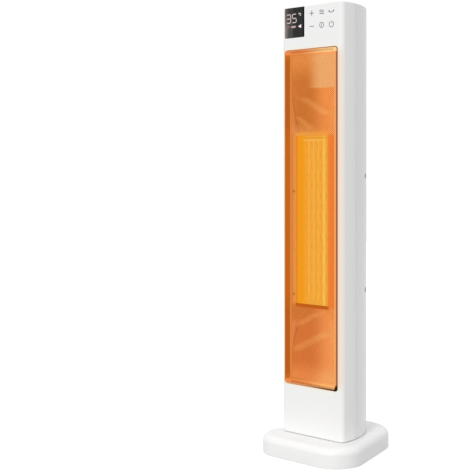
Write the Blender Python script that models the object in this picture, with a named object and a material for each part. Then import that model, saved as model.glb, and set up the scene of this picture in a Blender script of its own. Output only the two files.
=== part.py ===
import math

import bmesh
import bpy
from mathutils import Matrix, Vector

# Tower heater on an oscillating base. Metres, +Z up, front towards -Y.
# The origin is the middle of the base's underside, on the swivel axis.

for thing in list(bpy.data.objects):
    bpy.data.objects.remove(thing, do_unlink=True)

# Driving sizes of the casing
tower_width = 0.1226
tower_height = 0.6667
tower_depth = 0.116
tower_corner = 0.007
tower_taper_start = 0.0237
taper_past_rear = 0.0064
shell_wall = 0.0024
seam_behind_front = 0.0367
seam_gap = 0.0005
top_round = 0.0016
bottom_round = 0.0006

# Driving sizes of the base
base_front_half = 0.1046
base_rear_half = 0.0437
base_depth = 0.2025
base_height = 0.0312
base_front_corner = 0.0458
base_rear_corner = 0.0590
base_front_reach = 0.0429
base_wall_height = 0.0199
base_lift = 0.0008
base_wall = 0.0024
dome_run = 0.0125
tip_side = 0.0608
tip_inset = 0.0563
tower_gap = 0.0023

# Fits shared by many pieces
clearance = 0.0003
seat_clearance = 0.0004
overrun = 0.002
smallest_corner = 0.0016

# Outline shape: powers, shares and counts
taper_power = 1.55
blend_share = 0.78
rear_flat_share = 0.55
corner_steps = 4
base_corner_steps = 7
side_steps = 7
blend_steps = 4
round_segments = 20
small_segments = 12

# Places that several pieces share
base_front_y = -base_depth / 2
tower_front_y = base_front_y + base_front_reach
tower_rear_y = tower_front_y + tower_depth
tower_z = base_height + tower_gap
top_z = tower_z + tower_height
seam_y = tower_front_y + seam_behind_front
inner_half = tower_width / 2 - shell_wall
tip_x = base_front_half - tip_side
tip_y = base_front_y + tip_inset

# Window in the front shell, and the pressed mesh tray that fills it
window_side = 0.0084
window_shift = -0.0006
window_bottom = 0.0773
window_height = 0.5224
window_corner = 0.0055
tray_depth = 0.0045
tray_slope = 0.006
tray_sheet = 0.0009
mesh_margin = 0.006
mesh_hole_width = 0.0055
mesh_hole_height = 0.017
mesh_columns = 5
mesh_rows = 9

# Heating element
element_shift = -0.004
element_bottom = 0.2019
element_side = 0.0278
element_height = 0.262
bezel_sheet = 0.0013
housing_depth = 0.0168
housing_left_band = 0.013
housing_right_band = 0.004
housing_wall = 0.0035
housing_end_band = 0.0075
tube_width = 0.0022
tube_count = 4
fin_depth = 0.0145
fin_sheet = 0.0007
fin_folds = 36
frame_sheet = 0.0012
layer_gap = 0.0003
heater_screw_from_wall = 0.017
heater_screw_heights = (0.2153, 0.3778)
heater_screw_radius = 0.0014
heater_screw_head = 0.0024
heater_screw_length = 0.007
cutout_radius = 0.006
cutout_height = 0.0055

# Air duct behind the element
duct_wall = 0.0016
duct_plate = 0.0024
duct_end_gap = 0.003
duct_flange = 0.009
scroll_from_wall = 0.0108
scroll_gap = 0.006
tongue_gap = 0.0025

# Cross-flow fan
fan_front_space = 0.020
fan_rear_space = 0.0115
fan_side_space = 0.0144
fan_blade_depth = 0.0075
fan_blades = 16
blade_sheet = 0.0014
blade_sink = 0.0006
fan_disc = 0.003
fan_end_gap = 0.005
shaft_radius = 0.0025
shaft_above_fan = 0.013

# Fan motor under the duct
stack_drop = 0.018
stack_height = 0.018
stack_front = 0.028
stack_rear = 0.020
stack_half_width = 0.020
rotor_radius = 0.013
rotor_gap = 0.0004
rotor_overhang = 0.002
arm_width = 0.006
coil_build = 0.0052
bracket_sheet = 0.002
bracket_half = 0.009
bracket_space = 0.006
bearing_radius = 0.006
bearing_height = 0.007
bearing_collar = 0.003
hanger_radius = 0.0025

# Rear grille and dust filter
grille_half = 0.0395
grille_bottom = 0.097
grille_height = 0.460
slot_half = 0.021
slot_height = 0.006
slot_count = 20
notch_heights = (0.4016, 0.2228)
notch_height = 0.0075
notch_width = 0.006
filter_sheet = 0.0012
filter_half = 0.0235
filter_margin = 0.012

# Display, keys and board
lens_left = 0.00625
lens_width = 0.0408
lens_height = 0.0472
lens_below_top = 0.0004
lens_corner = 0.002
lens_sheet = 0.0022
module_margin = 0.004
module_depth = 0.0066
board_sheet = 0.0016
board_side_gap = 0.0048
board_height = 0.053
board_below_top = 0.006
board_post_radius = 0.0022
key_columns = (0.0007, 0.0206, 0.0397)
key_rows = (0.0125, 0.0333)
key_radius = 0.0045
power_board_side_gap = 0.0168
power_board_height = 0.062
power_board_behind_front = 0.0235
board_slot_depth = 0.018
board_post_size = 0.006

# Swivel under the tower
floor_sheet = 0.003
hub_outer = 0.020
hub_bore = 0.012
hub_depth = 0.0128
key_size = 0.003
gear_module = 0.00125
sector_teeth = 48
pinion_teeth = 16
sector_half_teeth = 7
gear_face = 0.005
pinion_overlap = 0.0005
gear_collar_radius = 0.026
gear_disc = 0.0022
gear_backlash = 0.0003
gear_running_gap = 0.0004
tip_share = 0.9
root_share = 1.2
ring_inner = 0.024
ring_outer = 0.036

# Base fittings
plate_sheet = 0.0024
plate_lift = 0.002
foot_radius = 0.008
foot_front_side = 0.0488
foot_front_inset = 0.0233
foot_rear_side = 0.0137
foot_rear_inset = 0.0373
swing_motor_radius = 0.021
swing_motor_height = 0.012
swing_shaft_radius = 0.0025
swing_shaft_depth = 0.006
base_screw_front_side = 0.0428
base_screw_front_inset = 0.0513
base_screw_rear_inset = 0.0213
base_boss_radius = 0.0042
base_screw_radius = 0.0015
base_screw_head_radius = 0.003
base_screw_head = 0.001
base_screw_length = 0.016
gland_height = 0.0100
gland_flange_radius = 0.0048
gland_flange = 0.003
gland_neck_radius = 0.0038
gland_bore = 0.0024
gland_recess = 0.0006

# Tip-over switch
tip_body_width = 0.018
tip_body_depth = 0.014
tip_body_height = 0.015
tip_bore_radius = 0.0034
plunger_radius = 0.003
plunger_length = 0.012
spring_radius = 0.0021
spring_wire = 0.00035
spring_turns = 5
spring_turn_steps = 8

# Mains rocker at the rear, and the shell screws
switch_height = 0.0415
switch_half_width = 0.0062
switch_half_height = 0.0092
switch_depth = 0.014
switch_flange = 0.0013
switch_flange_sheet = 0.0012
switch_wall = 0.0016
switch_pocket_depth = 0.010
rocker_side_gap = 0.0004
rocker_half_height = 0.006
rocker_crest = 0.0032
rocker_dip = 0.002
rocker_back = 0.003
rocker_back_half = 0.004
rocker_sink = 0.0025
rocker_pin = 0.0012
rocker_pin_reach = 0.0008
rocker_tilt = 12
shell_boss_sink = 0.0006
shell_screw_behind_front = 0.0555
shell_boss_radius = 0.0052
shell_boss_height = 0.024
shell_screw_radius = 0.0015
shell_screw_head_radius = 0.0029
shell_screw_head = 0.0014
shell_screw_length = 0.020

# Colour, roughness and metallic value of each material
looks = {
    "white_plastic": ((0.86, 0.86, 0.85), 0.35, 0.0),
    "shell_grey": ((0.78, 0.78, 0.77), 0.38, 0.0),
    "rubber": ((0.03, 0.03, 0.03), 0.85, 0.0),
    "mesh_metal": ((0.72, 0.36, 0.16), 0.4, 0.8),
    "duct_metal": ((0.70, 0.42, 0.24), 0.45, 0.7),
    "element": ((0.95, 0.62, 0.16), 0.5, 0.0),
    "aluminium": ((0.80, 0.79, 0.77), 0.3, 1.0),
    "steel": ((0.55, 0.55, 0.56), 0.35, 1.0),
    "lens": ((0.02, 0.02, 0.02), 0.1, 0.0),
    "board": ((0.05, 0.22, 0.12), 0.5, 0.0),
    "black_plastic": ((0.04, 0.04, 0.045), 0.45, 0.0),
    "copper": ((0.62, 0.28, 0.14), 0.4, 0.6),
    "acetal": ((0.80, 0.79, 0.74), 0.4, 0.0),
    "filter": ((0.20, 0.20, 0.21), 0.8, 0.0),
}


def material(look, node):
    colour, rough, metal = looks[look]
    made = bpy.data.materials.new(node)
    made.use_nodes = True
    shader = made.node_tree.nodes["Principled BSDF"]
    shader.inputs["Base Color"].default_value = (*colour, 1)
    shader.inputs["Roughness"].default_value = rough
    shader.inputs["Metallic"].default_value = metal
    return made


def solid(name, points, faces, look=None, sharp=35):
    mesh = bpy.data.meshes.new(name)
    mesh.from_pydata(points, [], faces)
    shape = bmesh.new()
    shape.from_mesh(mesh)
    bmesh.ops.recalc_face_normals(shape, faces=shape.faces)
    shape.to_mesh(mesh)
    shape.free()
    mesh.shade_smooth()
    mesh.set_sharp_from_angle(angle=math.radians(sharp))
    made = bpy.data.objects.new(name, mesh)
    bpy.context.scene.collection.objects.link(made)
    if look:
        mesh.materials.append(material(look, name))
    return made


def stack(name, sections, look=None):
    # Skin a pile of outlines with equal numbers of 3-D points, and cap both ends
    count = len(sections[0])
    points = [point for section in sections for point in section]
    faces = [tuple(range(count)), tuple(range(len(points) - count, len(points)))]
    for level in range(len(sections) - 1):
        low = level * count
        high = low + count
        for i in range(count):
            j = (i + 1) % count
            faces.append((low + i, low + j, high + j, high + i))
    return solid(name, points, faces, look)


def extrude(name, outline, axis, low, high, look=None):
    # Push a flat outline from low to high along x, y or z
    def place(pair, level):
        a, b = pair
        return {"x": (level, a, b), "y": (a, level, b), "z": (a, b, level)}[axis]
    sections = [[place(pair, level) for pair in outline] for level in (low, high)]
    return stack(name, sections, look)


def box(name, low, high, look=None):
    outline = [(low[0], low[1]), (high[0], low[1]), (high[0], high[1]), (low[0], high[1])]
    return extrude(name, outline, "z", low[2], high[2], look)


def circle(centre, radius, steps=round_segments):
    turns = [2 * math.pi * i / steps for i in range(steps)]
    return [(centre[0] + radius * math.cos(t), centre[1] + radius * math.sin(t)) for t in turns]


def disc(name, axis, centre, radius, low, high, look=None, steps=round_segments):
    return extrude(name, circle(centre, radius, steps), axis, low, high, look)


def rounded(low, high, corner, steps=3):
    points = []
    middles = (
        (high[0] - corner, high[1] - corner, 0),
        (low[0] + corner, high[1] - corner, 1),
        (low[0] + corner, low[1] + corner, 2),
        (high[0] - corner, low[1] + corner, 3),
    )
    for x, y, quarter in middles:
        for i in range(steps + 1):
            turn = math.pi / 2 * (quarter + i / steps)
            points.append((x + corner * math.cos(turn), y + corner * math.sin(turn)))
    return points


def boolean(target, tool, operation):
    change = target.modifiers.new(tool.name, "BOOLEAN")
    change.operation = operation
    change.solver = "EXACT"
    change.object = tool
    tool.hide_render = True
    tool.display_type = "WIRE"
    return target


def cut(target, *tools):
    for tool in tools:
        boolean(target, tool, "DIFFERENCE")
    return target


def join(target, *tools):
    for tool in tools:
        boolean(target, tool, "UNION")
    return target


def keep(target, tool):
    return boolean(target, tool, "INTERSECT")


def merged(name, parts, look=None):
    # Put several closed meshes into one cutter or guide
    shape = bmesh.new()
    for part in parts:
        shape.from_mesh(part.data)
        bpy.data.objects.remove(part, do_unlink=True)
    mesh = bpy.data.meshes.new(name)
    shape.to_mesh(mesh)
    shape.free()
    made = bpy.data.objects.new(name, mesh)
    bpy.context.scene.collection.objects.link(made)
    if look:
        mesh.materials.append(material(look, name))
    return made


def plan(front, rear, half, corner, taper_start, reach, inset=0):
    # Flat front, sides that draw in towards the rear, and a blunt rear
    half = half - inset
    front_line = front + inset
    rear_line = rear - inset
    reach = reach - inset
    corner = max(corner - inset, smallest_corner)
    right = []
    for i in range(corner_steps + 1):
        turn = math.pi / 2 * (i / corner_steps - 1)
        x = half - corner + corner * math.cos(turn)
        right.append((x, front_line + corner + corner * math.sin(turn)))
    start = front + taper_start
    for i in range(side_steps):
        share = blend_share * i / (side_steps - 1)
        x = half * (1 - share ** taper_power) ** (1 / taper_power)
        right.append((x, start + share * reach))
    x, y = right[-1]
    rest = 1 - blend_share ** taper_power
    slope = -half / reach * blend_share ** (taper_power - 1) * rest ** (1 / taper_power - 1)
    knee = x + slope * (rear_line - y)
    flat = knee * rear_flat_share
    for i in range(1, blend_steps + 1):
        t = i / blend_steps
        away = (1 - t) * (1 - t)
        bend = 2 * t * (1 - t)
        px = away * x + bend * knee + t * t * flat
        py = away * y + bend * rear_line + t * t * rear_line
        right.append((px, py))
    left = [(-x, y) for x, y in reversed(right)]
    return right + left


def taper_reach():
    return tower_depth - tower_taper_start + taper_past_rear


def tower_plan(inset=0):
    half = tower_width / 2
    return plan(tower_front_y, tower_rear_y, half, tower_corner, tower_taper_start,
                taper_reach(), inset)


def half_width_at(y):
    # Half the tower's width where its sides draw in
    share = (y - tower_front_y - tower_taper_start) / taper_reach()
    return tower_width / 2 * (1 - share ** taper_power) ** (1 / taper_power)


def fillet(corner, before, after, radius, steps):
    # Round the corner of an outline between its two neighbours
    def towards(other):
        dx = other[0] - corner[0]
        dy = other[1] - corner[1]
        size = math.hypot(dx, dy)
        return dx / size, dy / size
    ux, uy = towards(before)
    vx, vy = towards(after)
    half = math.acos(ux * vx + uy * vy) / 2
    run = radius / math.tan(half)
    far = radius / math.sin(half)
    size = math.hypot(ux + vx, uy + vy)
    cx = corner[0] + (ux + vx) / size * far
    cy = corner[1] + (uy + vy) / size * far
    start = math.atan2(corner[1] + uy * run - cy, corner[0] + ux * run - cx)
    sweep = math.pi - 2 * half
    turns = [start + sweep * i / steps for i in range(steps + 1)]
    return [(cx + radius * math.cos(t), cy + radius * math.sin(t)) for t in turns]


def base_plan(inset=0):
    # A trapezoid, wide at the front, with large corners
    slope = (base_front_half - base_rear_half) / base_depth
    shift = inset * math.hypot(1, slope)
    low = base_front_y + inset
    high = -low
    wide = base_front_half - slope * inset - shift
    narrow = base_rear_half + slope * inset - shift
    lean = math.atan(slope)
    front_most = base_front_half * math.tan(math.pi / 4 - lean / 2)
    rear_most = base_rear_half * math.tan(math.pi / 4 + lean / 2)
    front_radius = max(min(base_front_corner, front_most) - inset, smallest_corner)
    rear_radius = max(min(base_rear_corner, rear_most) - inset, smallest_corner)
    corners = ((wide, low), (narrow, high), (-narrow, high), (-wide, low))
    radii = (front_radius, rear_radius, rear_radius, front_radius)
    outline = []
    for i in range(4):
        outline += fillet(corners[i], corners[i - 1], corners[(i + 1) % 4], radii[i],
                          base_corner_steps)
    return outline


def levels(outline, heights):
    return [[(x, y, z) for x, y in outline(inset)] for inset, z in heights]


def build_base_cover():
    rise = base_height - base_wall_height
    dome_shares = ((0, 0), (0.045, 0.26), (0.16, 0.52), (0.35, 0.75), (0.63, 0.92), (1, 1))
    outside = [(0, base_lift)]
    inside = [(base_wall, base_lift - overrun)]
    for run_share, rise_share in dome_shares:
        inset = dome_run * run_share
        height = base_wall_height + rise * rise_share
        outside.append((inset, height))
        inside.append((inset + base_wall, height - base_wall))
    cover = stack("base_cover", levels(base_plan, outside), "white_plastic")
    cut(cover, stack("cut_base_hollow", levels(base_plan, inside)))
    boss_top = base_height - base_wall / 2
    for name, x, y in base_screw_places():
        boss = disc("boss_" + name, "z", (x, y), base_boss_radius, plate_top() + clearance,
                    boss_top, steps=small_segments)
        hole = disc("cut_boss_" + name, "z", (x, y), base_screw_radius + clearance,
                    plate_top() - overrun, base_screw_top() + clearance, steps=small_segments)
        join(cover, boss)
        cut(cover, hole)
    hub_hole = disc("cut_cover_hub", "z", (0, 0), hub_outer + 2 * seat_clearance,
                    base_wall_height, base_height + overrun)
    gland_hole = disc("cut_cover_gland", "y", (0, gland_height), gland_neck_radius + clearance,
                      base_depth / 2 - base_wall - overrun, base_depth / 2 + overrun)
    cut(cover, hub_hole, gland_hole)


def plate_top():
    return plate_lift + plate_sheet


def base_screw_places():
    side = base_front_half - base_screw_front_side
    front = base_front_y + base_screw_front_inset
    rear = base_depth / 2 - base_screw_rear_inset
    return (
        ("base_screw_left", -side, front),
        ("base_screw_right", side, front),
        ("base_screw_rear", 0, rear),
    )


def base_screw_top():
    return plate_lift - clearance + base_screw_length


def build_base_plate():
    inset = base_wall + clearance
    plate = stack("base_plate", levels(base_plan, ((inset, plate_lift), (inset, plate_top()))),
                  "black_plastic")
    for name, x, y in base_screw_places():
        cut(plate, disc("cut_plate_" + name, "z", (x, y), base_screw_radius + clearance,
                        0, plate_top() + overrun, steps=small_segments))
    cut(plate, disc("cut_plate_tip", "z", (tip_x, tip_y), tip_bore_radius, 0,
                    plate_top() + overrun, steps=small_segments))


def screw(name, axis, centre, head_radius, head_low, head_high, radius, low, high, look="steel"):
    # Head and shank in one turned shape, whichever way it points
    head = circle(centre, head_radius, small_segments)
    shank = circle(centre, radius, small_segments)

    def ring(outline, level):
        return [{"y": (a, level, b), "z": (a, b, level)}[axis] for a, b in outline]
    if head_high <= low:
        rings = [ring(head, head_low), ring(head, head_high), ring(shank, head_high),
                 ring(shank, high)]
    else:
        rings = [ring(shank, low), ring(shank, head_low), ring(head, head_low),
                 ring(head, head_high)]
    return stack(name, rings, look)


def build_base_screws():
    for name, x, y in base_screw_places():
        head_top = plate_lift - clearance
        screw(name, "z", (x, y), base_screw_head_radius, head_top - base_screw_head, head_top,
              base_screw_radius, head_top, base_screw_top())


def build_feet():
    front_x = base_front_half - foot_front_side
    front_y = base_front_y + foot_front_inset
    rear_x = base_rear_half - foot_rear_side
    rear_y = base_depth / 2 - foot_rear_inset
    places = (
        ("foot_front_left", -front_x, front_y),
        ("foot_front_right", front_x, front_y),
        ("foot_rear_left", -rear_x, rear_y),
        ("foot_rear_right", rear_x, rear_y),
    )
    for name, x, y in places:
        disc(name, "z", (x, y), foot_radius, 0, plate_lift - clearance, "rubber")


def build_cord_gland():
    wall_inside = base_depth / 2 - base_wall
    centre = (0, gland_height)
    flange = circle(centre, gland_flange_radius, small_segments)
    neck = circle(centre, gland_neck_radius, small_segments)
    front = wall_inside - 2 * clearance - gland_flange
    shoulder = wall_inside - 2 * clearance
    rear = base_depth / 2 - gland_recess
    rings = [[(x, y, z) for x, z in outline] for outline, y in (
        (flange, front), (flange, shoulder), (neck, shoulder), (neck, rear))]
    gland = stack("cord_gland", rings, "black_plastic")
    cut(gland, disc("cut_gland", "y", centre, gland_bore, front - overrun, rear + overrun,
                    steps=small_segments))


def build_glide_ring():
    ring = disc("glide_ring", "z", (0, 0), ring_outer, base_height + clearance,
                tower_z - clearance, "acetal")
    cut(ring, disc("cut_glide_ring", "z", (0, 0), ring_inner, base_height, tower_z))


def pinion_y():
    return gear_module * (sector_teeth + pinion_teeth) / 2 + gear_running_gap


def sector_top():
    return hub_end() + gear_face


def hub_end():
    return tower_z - hub_depth


def swing_motor_top():
    return plate_top() + clearance + swing_motor_height


def build_swing_motor():
    low = plate_top() + clearance
    centre = (0, pinion_y())
    motor = disc("swing_motor", "z", centre, swing_motor_radius, low, swing_motor_top(), "steel")
    cut(motor, disc("cut_swing_motor", "z", centre, swing_shaft_radius + clearance,
                    swing_motor_top() - swing_shaft_depth, swing_motor_top() + overrun,
                    steps=small_segments))


def involute(turn):
    return math.tan(turn) - turn


def tooth_half_angle(teeth, radius):
    # Half the angle that a tooth fills at this radius, less its share of the backlash
    pitch = gear_module * teeth / 2
    pressure = math.radians(20)
    base = pitch * math.cos(pressure)
    at_pitch = math.pi / 2 / teeth - gear_backlash / 2 / pitch
    here = math.acos(min(1, base / max(radius, base)))
    return at_pitch + involute(pressure) - involute(here)


def tooth_points(teeth, middle):
    pitch = gear_module * teeth / 2
    tip = pitch + gear_module * tip_share
    root = pitch - gear_module * root_share
    angles = [
        (root, -tooth_half_angle(teeth, root)),
        (pitch, -tooth_half_angle(teeth, pitch)),
        (tip, -tooth_half_angle(teeth, tip)),
        (tip, tooth_half_angle(teeth, tip)),
        (pitch, tooth_half_angle(teeth, pitch)),
        (root, tooth_half_angle(teeth, root)),
    ]
    return [(r * math.cos(middle + a), r * math.sin(middle + a)) for r, a in angles]


def build_swing_pinion():
    # A tooth gap faces the swivel axis, where the sector has a tooth
    pitch_angle = 2 * math.pi / pinion_teeth
    outline = []
    for i in range(pinion_teeth):
        middle = -math.pi / 2 + pitch_angle * (i + 0.5)
        outline += [(x, y + pinion_y()) for x, y in tooth_points(pinion_teeth, middle)]
    pinion = extrude("swing_pinion", outline, "z", hub_end() - pinion_overlap,
                     sector_top() + pinion_overlap, "acetal")
    low = swing_motor_top() - swing_shaft_depth + clearance
    join(pinion, disc("swing_shaft", "z", (0, pinion_y()), swing_shaft_radius, low,
                      hub_end() + pinion_overlap, steps=small_segments))


def build_sector_gear():
    pitch_angle = 2 * math.pi / sector_teeth
    outline = []
    for i in range(-sector_half_teeth, sector_half_teeth + 1):
        outline += tooth_points(sector_teeth, math.pi / 2 + i * pitch_angle)
    start = math.pi / 2 + (sector_half_teeth + 1) * pitch_angle
    rest = 2 * math.pi - 2 * (sector_half_teeth + 1) * pitch_angle
    steps = round_segments
    for i in range(steps + 1):
        turn = start + rest * i / steps
        outline.append((gear_collar_radius * math.cos(turn), gear_collar_radius * math.sin(turn)))
    low = hub_end() - clearance - gear_disc
    gear = disc("sector_gear", "z", (0, 0), gear_collar_radius, low,
                base_height - base_wall - clearance, "acetal", steps=2 * round_segments)
    teeth = extrude("sector_teeth", outline, "z", hub_end(), sector_top())
    seat = disc("cut_gear_seat", "z", (0, 0), hub_outer + clearance, hub_end() - clearance,
                base_height)
    key = box("cut_gear_key", (-key_size / 2 - clearance, 0, hub_end() - clearance),
              (key_size / 2 + clearance, hub_outer + key_size / 2 + clearance, base_height))
    bore = disc("cut_gear_bore", "z", (0, 0), hub_bore + clearance, low - overrun, base_height)
    join(gear, teeth)
    cut(gear, seat, key, bore)


def build_tower_floor():
    inset = shell_wall + clearance
    floor = stack("tower_floor", levels(tower_plan, ((inset, tower_z),
                                                     (inset, tower_z + floor_sheet))),
                  "white_plastic")
    hub = disc("tower_hub", "z", (0, 0), hub_outer, hub_end(), tower_z + floor_sheet / 2)
    key = box("tower_hub_key", (-key_size / 2, hub_outer / 2, hub_end()),
              (key_size / 2, hub_outer + key_size / 2, base_height - base_wall - clearance))
    join(floor, hub, key)
    rear = tower_front_y + power_board_behind_front
    for side in (-1, 1):
        x = side * (power_board_half() - board_post_size / 2)
        half = board_post_size / 2
        low = tower_z + floor_sheet / 2
        post = box("board_post_%d" % side, (x - half, rear - half, low),
                   (x + half, rear + half, tower_z + floor_sheet + board_slot_depth))
        join(floor, post)
    slot_half_y = board_sheet / 2 + clearance
    slot = box("cut_board_slot", (-power_board_half() - clearance, rear - slot_half_y,
                                  tower_z + floor_sheet),
               (power_board_half() + clearance, rear + slot_half_y, top_z))
    bore = disc("cut_hub_bore", "z", (0, 0), hub_bore, hub_end() - overrun,
                tower_z + floor_sheet + overrun)
    cut(floor, slot, bore)
    for side in (-1, 1):
        centre = (side * shell_screw_x(), shell_screw_y())
        shank = disc("cut_floor_shank_%d" % side, "z", centre, shell_screw_radius + clearance,
                     tower_z - overrun, tower_z + floor_sheet + overrun, steps=small_segments)
        head = disc("cut_floor_head_%d" % side, "z", centre,
                    shell_screw_head_radius + clearance, tower_z - overrun,
                    tower_z + shell_screw_head + 2 * clearance, steps=small_segments)
        cut(floor, shank, head)


def shell_screw_x():
    wall_inside = half_width_at(shell_screw_y()) - shell_wall
    return wall_inside - shell_boss_radius + shell_boss_sink


def shell_screw_y():
    return tower_front_y + shell_screw_behind_front


def shell_screw_top():
    return tower_z + clearance + shell_screw_head + shell_screw_length


def build_shell_screws():
    for name, side in (("shell_screw_left", -1), ("shell_screw_right", 1)):
        centre = (side * shell_screw_x(), shell_screw_y())
        low = tower_z + clearance
        screw(name, "z", centre, shell_screw_head_radius, low, low + shell_screw_head,
              shell_screw_radius, low + shell_screw_head, shell_screw_top())


def shell_blank(name, look):
    outside = ((bottom_round, tower_z), (0, tower_z + 2 * bottom_round),
               (0, top_z - top_round), (top_round / 3, top_z - top_round / 3),
               (top_round, top_z))
    blank = stack(name, levels(tower_plan, outside), look)
    hollow = stack("cut_hollow_" + name, levels(tower_plan, (
        (shell_wall, tower_z - overrun), (shell_wall, top_z + overrun))))
    return cut(blank, hollow)


def window_half():
    return tower_width / 2 - window_side


def window_outline(inset):
    half = window_half() - inset
    low = tower_z + window_bottom + inset
    high = tower_z + window_bottom + window_height - inset
    corner = max(window_corner - inset, smallest_corner)
    return rounded((window_shift - half, low), (window_shift + half, high), corner, 4)


def lens_outline(inset, high=None):
    left = -tower_width / 2 + lens_left
    top = top_z - lens_below_top
    return rounded((left + inset, top - lens_height + inset),
                   (left + lens_width - inset, (high or top) - inset), lens_corner)


def board_top():
    return top_z - board_below_top


def board_front_y():
    return tower_front_y + lens_sheet + module_depth + 3 * clearance


def build_front_shell():
    shell = shell_blank("front_shell", "white_plastic")
    far = tower_rear_y + overrun
    cut(shell, box("cut_front_half", (-tower_width, seam_y - seam_gap / 2, 0),
                   (tower_width, far, top_z + overrun)))
    front = tower_front_y - overrun
    back = tower_front_y + 2 * shell_wall
    cut(shell, extrude("cut_window", window_outline(0), "y", front, back))
    cut(shell, extrude("cut_lens", lens_outline(0, top_z + overrun), "y", front, back))
    low = board_top() - board_height + 2 * board_post_radius
    posts = ((-board_half() + 3 * board_post_radius, low), (board_half() - 3 * board_post_radius, low),
             (board_half() - 3 * board_post_radius, board_top() - 2 * board_post_radius))
    for i, centre in enumerate(posts):
        join(shell, disc("board_boss_%d" % i, "y", centre, board_post_radius,
                         tower_front_y + shell_wall / 2, board_front_y() - clearance,
                         steps=small_segments))


def build_rear_shell():
    shell = shell_blank("rear_shell", "shell_grey")
    front = tower_front_y - overrun
    cut(shell, box("cut_rear_half", (-tower_width, front, 0),
                   (tower_width, seam_y + seam_gap / 2, top_z + overrun)))
    low = tower_z + floor_sheet + clearance
    for side in (-1, 1):
        centre = (side * shell_screw_x(), shell_screw_y())
        boss = disc("shell_boss_%d" % side, "z", centre, shell_boss_radius, low,
                    low + shell_boss_height, steps=small_segments)
        hole = disc("cut_shell_boss_%d" % side, "z", centre, shell_screw_radius + clearance,
                    low - overrun, shell_screw_top() + clearance, steps=small_segments)
        join(shell, boss)
        cut(shell, hole)
    grille_low = tower_z + grille_bottom
    cut(shell, box("cut_grille_opening", (-grille_half - clearance, 0, grille_low - clearance),
                   (grille_half + clearance, tower_rear_y + overrun,
                    grille_low + grille_height + clearance)))
    half = switch_half_width + clearance
    tall = switch_half_height + clearance
    middle = tower_z + switch_height
    cut(shell, box("cut_switch_opening", (-half, 0, middle - tall),
                   (half, tower_rear_y + overrun, middle + tall)))


def build_top_cap():
    inset = shell_wall + clearance
    lid_top = top_z - top_round / 2
    stack("top_cap", levels(tower_plan, ((inset, lid_top - shell_wall), (inset, lid_top))),
          "white_plastic")


def tray_back():
    return tower_front_y + tray_depth + tray_sheet


def build_front_grille():
    def ring(inset, y):
        return [(x, y, z) for x, z in window_outline(inset)]
    edge = 2 * tray_sheet
    outer = [ring(clearance, tower_front_y), ring(clearance, tower_front_y + tray_sheet),
             ring(tray_slope - tray_sheet / 2, tray_back())]
    tray = stack("front_grille", outer, "mesh_metal")
    inner = [ring(clearance + edge / 2 - tray_slope * overrun / tray_depth,
                  tower_front_y - overrun),
             ring(clearance + edge / 2 + tray_slope, tower_front_y + tray_depth)]
    cut(tray, stack("cut_tray", inner))
    half = window_half() - tray_slope - mesh_margin
    low = tower_z + window_bottom + tray_slope + mesh_margin
    high = tower_z + window_bottom + window_height - tray_slope - mesh_margin
    step_x = (2 * half - mesh_hole_width) / (mesh_columns - 1)
    step_z = (high - low - mesh_hole_height) / (mesh_rows - 1)
    holes = []
    for row in range(mesh_rows):
        for column in range(mesh_columns):
            x = window_shift - half + mesh_hole_width / 2 + column * step_x
            z = low + mesh_hole_height / 2 + row * step_z
            wide = mesh_hole_width / 2
            tall = mesh_hole_height / 2
            diamond = [(x + wide, z), (x, z + tall), (x - wide, z), (x, z - tall)]
            holes.append(extrude("hole", diamond, "y", tower_front_y, tray_back() + overrun))
    cut(tray, merged("cut_mesh", holes))


def bezel_front():
    return tray_back() + layer_gap


def frame_front():
    return bezel_front() + bezel_sheet + layer_gap


def frame_back():
    return frame_front() + frame_sheet


def element_low():
    return tower_z + element_bottom


def element_high():
    return element_low() + element_height


def element_half():
    return tower_width / 2 - element_side


def core_left():
    return element_shift - element_half() + housing_left_band + housing_wall


def core_right():
    return element_shift + element_half() - housing_right_band


def build_heater_housing():
    left = element_shift - element_half()
    right = element_shift + element_half()
    housing = box("heater_housing", (left, bezel_front(), element_low()),
                  (right, bezel_front() + bezel_sheet, element_high()), "element")
    body = box("housing_body", (core_left() - housing_wall, bezel_front() + bezel_sheet / 2,
                                core_low() - housing_wall),
               (core_right() + housing_wall, housing_back(),
                core_high() + housing_wall))
    hole = box("cut_core", (core_left(), bezel_front() - overrun, core_low()),
               (core_right(), housing_back() + overrun, core_high()))
    join(housing, body)
    cut(housing, hole)


def core_low():
    return element_low() + housing_end_band


def core_high():
    return element_high() - housing_end_band


def core_layout():
    # Fin columns and tubes side by side, each with its clearance
    fins = tube_count + 1
    space = core_right() - core_left() - clearance * (fins + tube_count + 1)
    fin_width = (space - tube_count * tube_width) / fins
    return fin_width


def build_heater_core():
    fin_width = core_layout()
    x = core_left() + clearance
    front = bezel_front() + bezel_sheet
    low = core_low() + clearance
    high = core_high() - clearance
    for i in range(tube_count + 1):
        chain = []
        for k in range(fin_folds + 1):
            side = x + fin_sheet / 2 if k % 2 else x + fin_width - fin_sheet / 2
            chain.append((side, low + (high - low) * k / fin_folds))
        left = [(px - fin_sheet / 2, z) for px, z in chain]
        right = [(px + fin_sheet / 2, z) for px, z in reversed(chain)]
        extrude("heater_fins_%d" % (i + 1), left + right, "y", front, front + fin_depth,
                "aluminium")
        x += fin_width + clearance
        if i < tube_count:
            box("heater_tube_%d" % (i + 1), (x, front, low),
                (x + tube_width, front + fin_depth, high), "aluminium")
            x += tube_width + clearance


def duct_low():
    return element_low() - duct_end_gap


def duct_high():
    return element_high() + duct_end_gap


def heater_screw_reach():
    return inner_half - heater_screw_from_wall


def heater_screw_places():
    low, high = heater_screw_heights
    return (("heater_screw_lower", low), ("heater_screw_upper", high))


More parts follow.
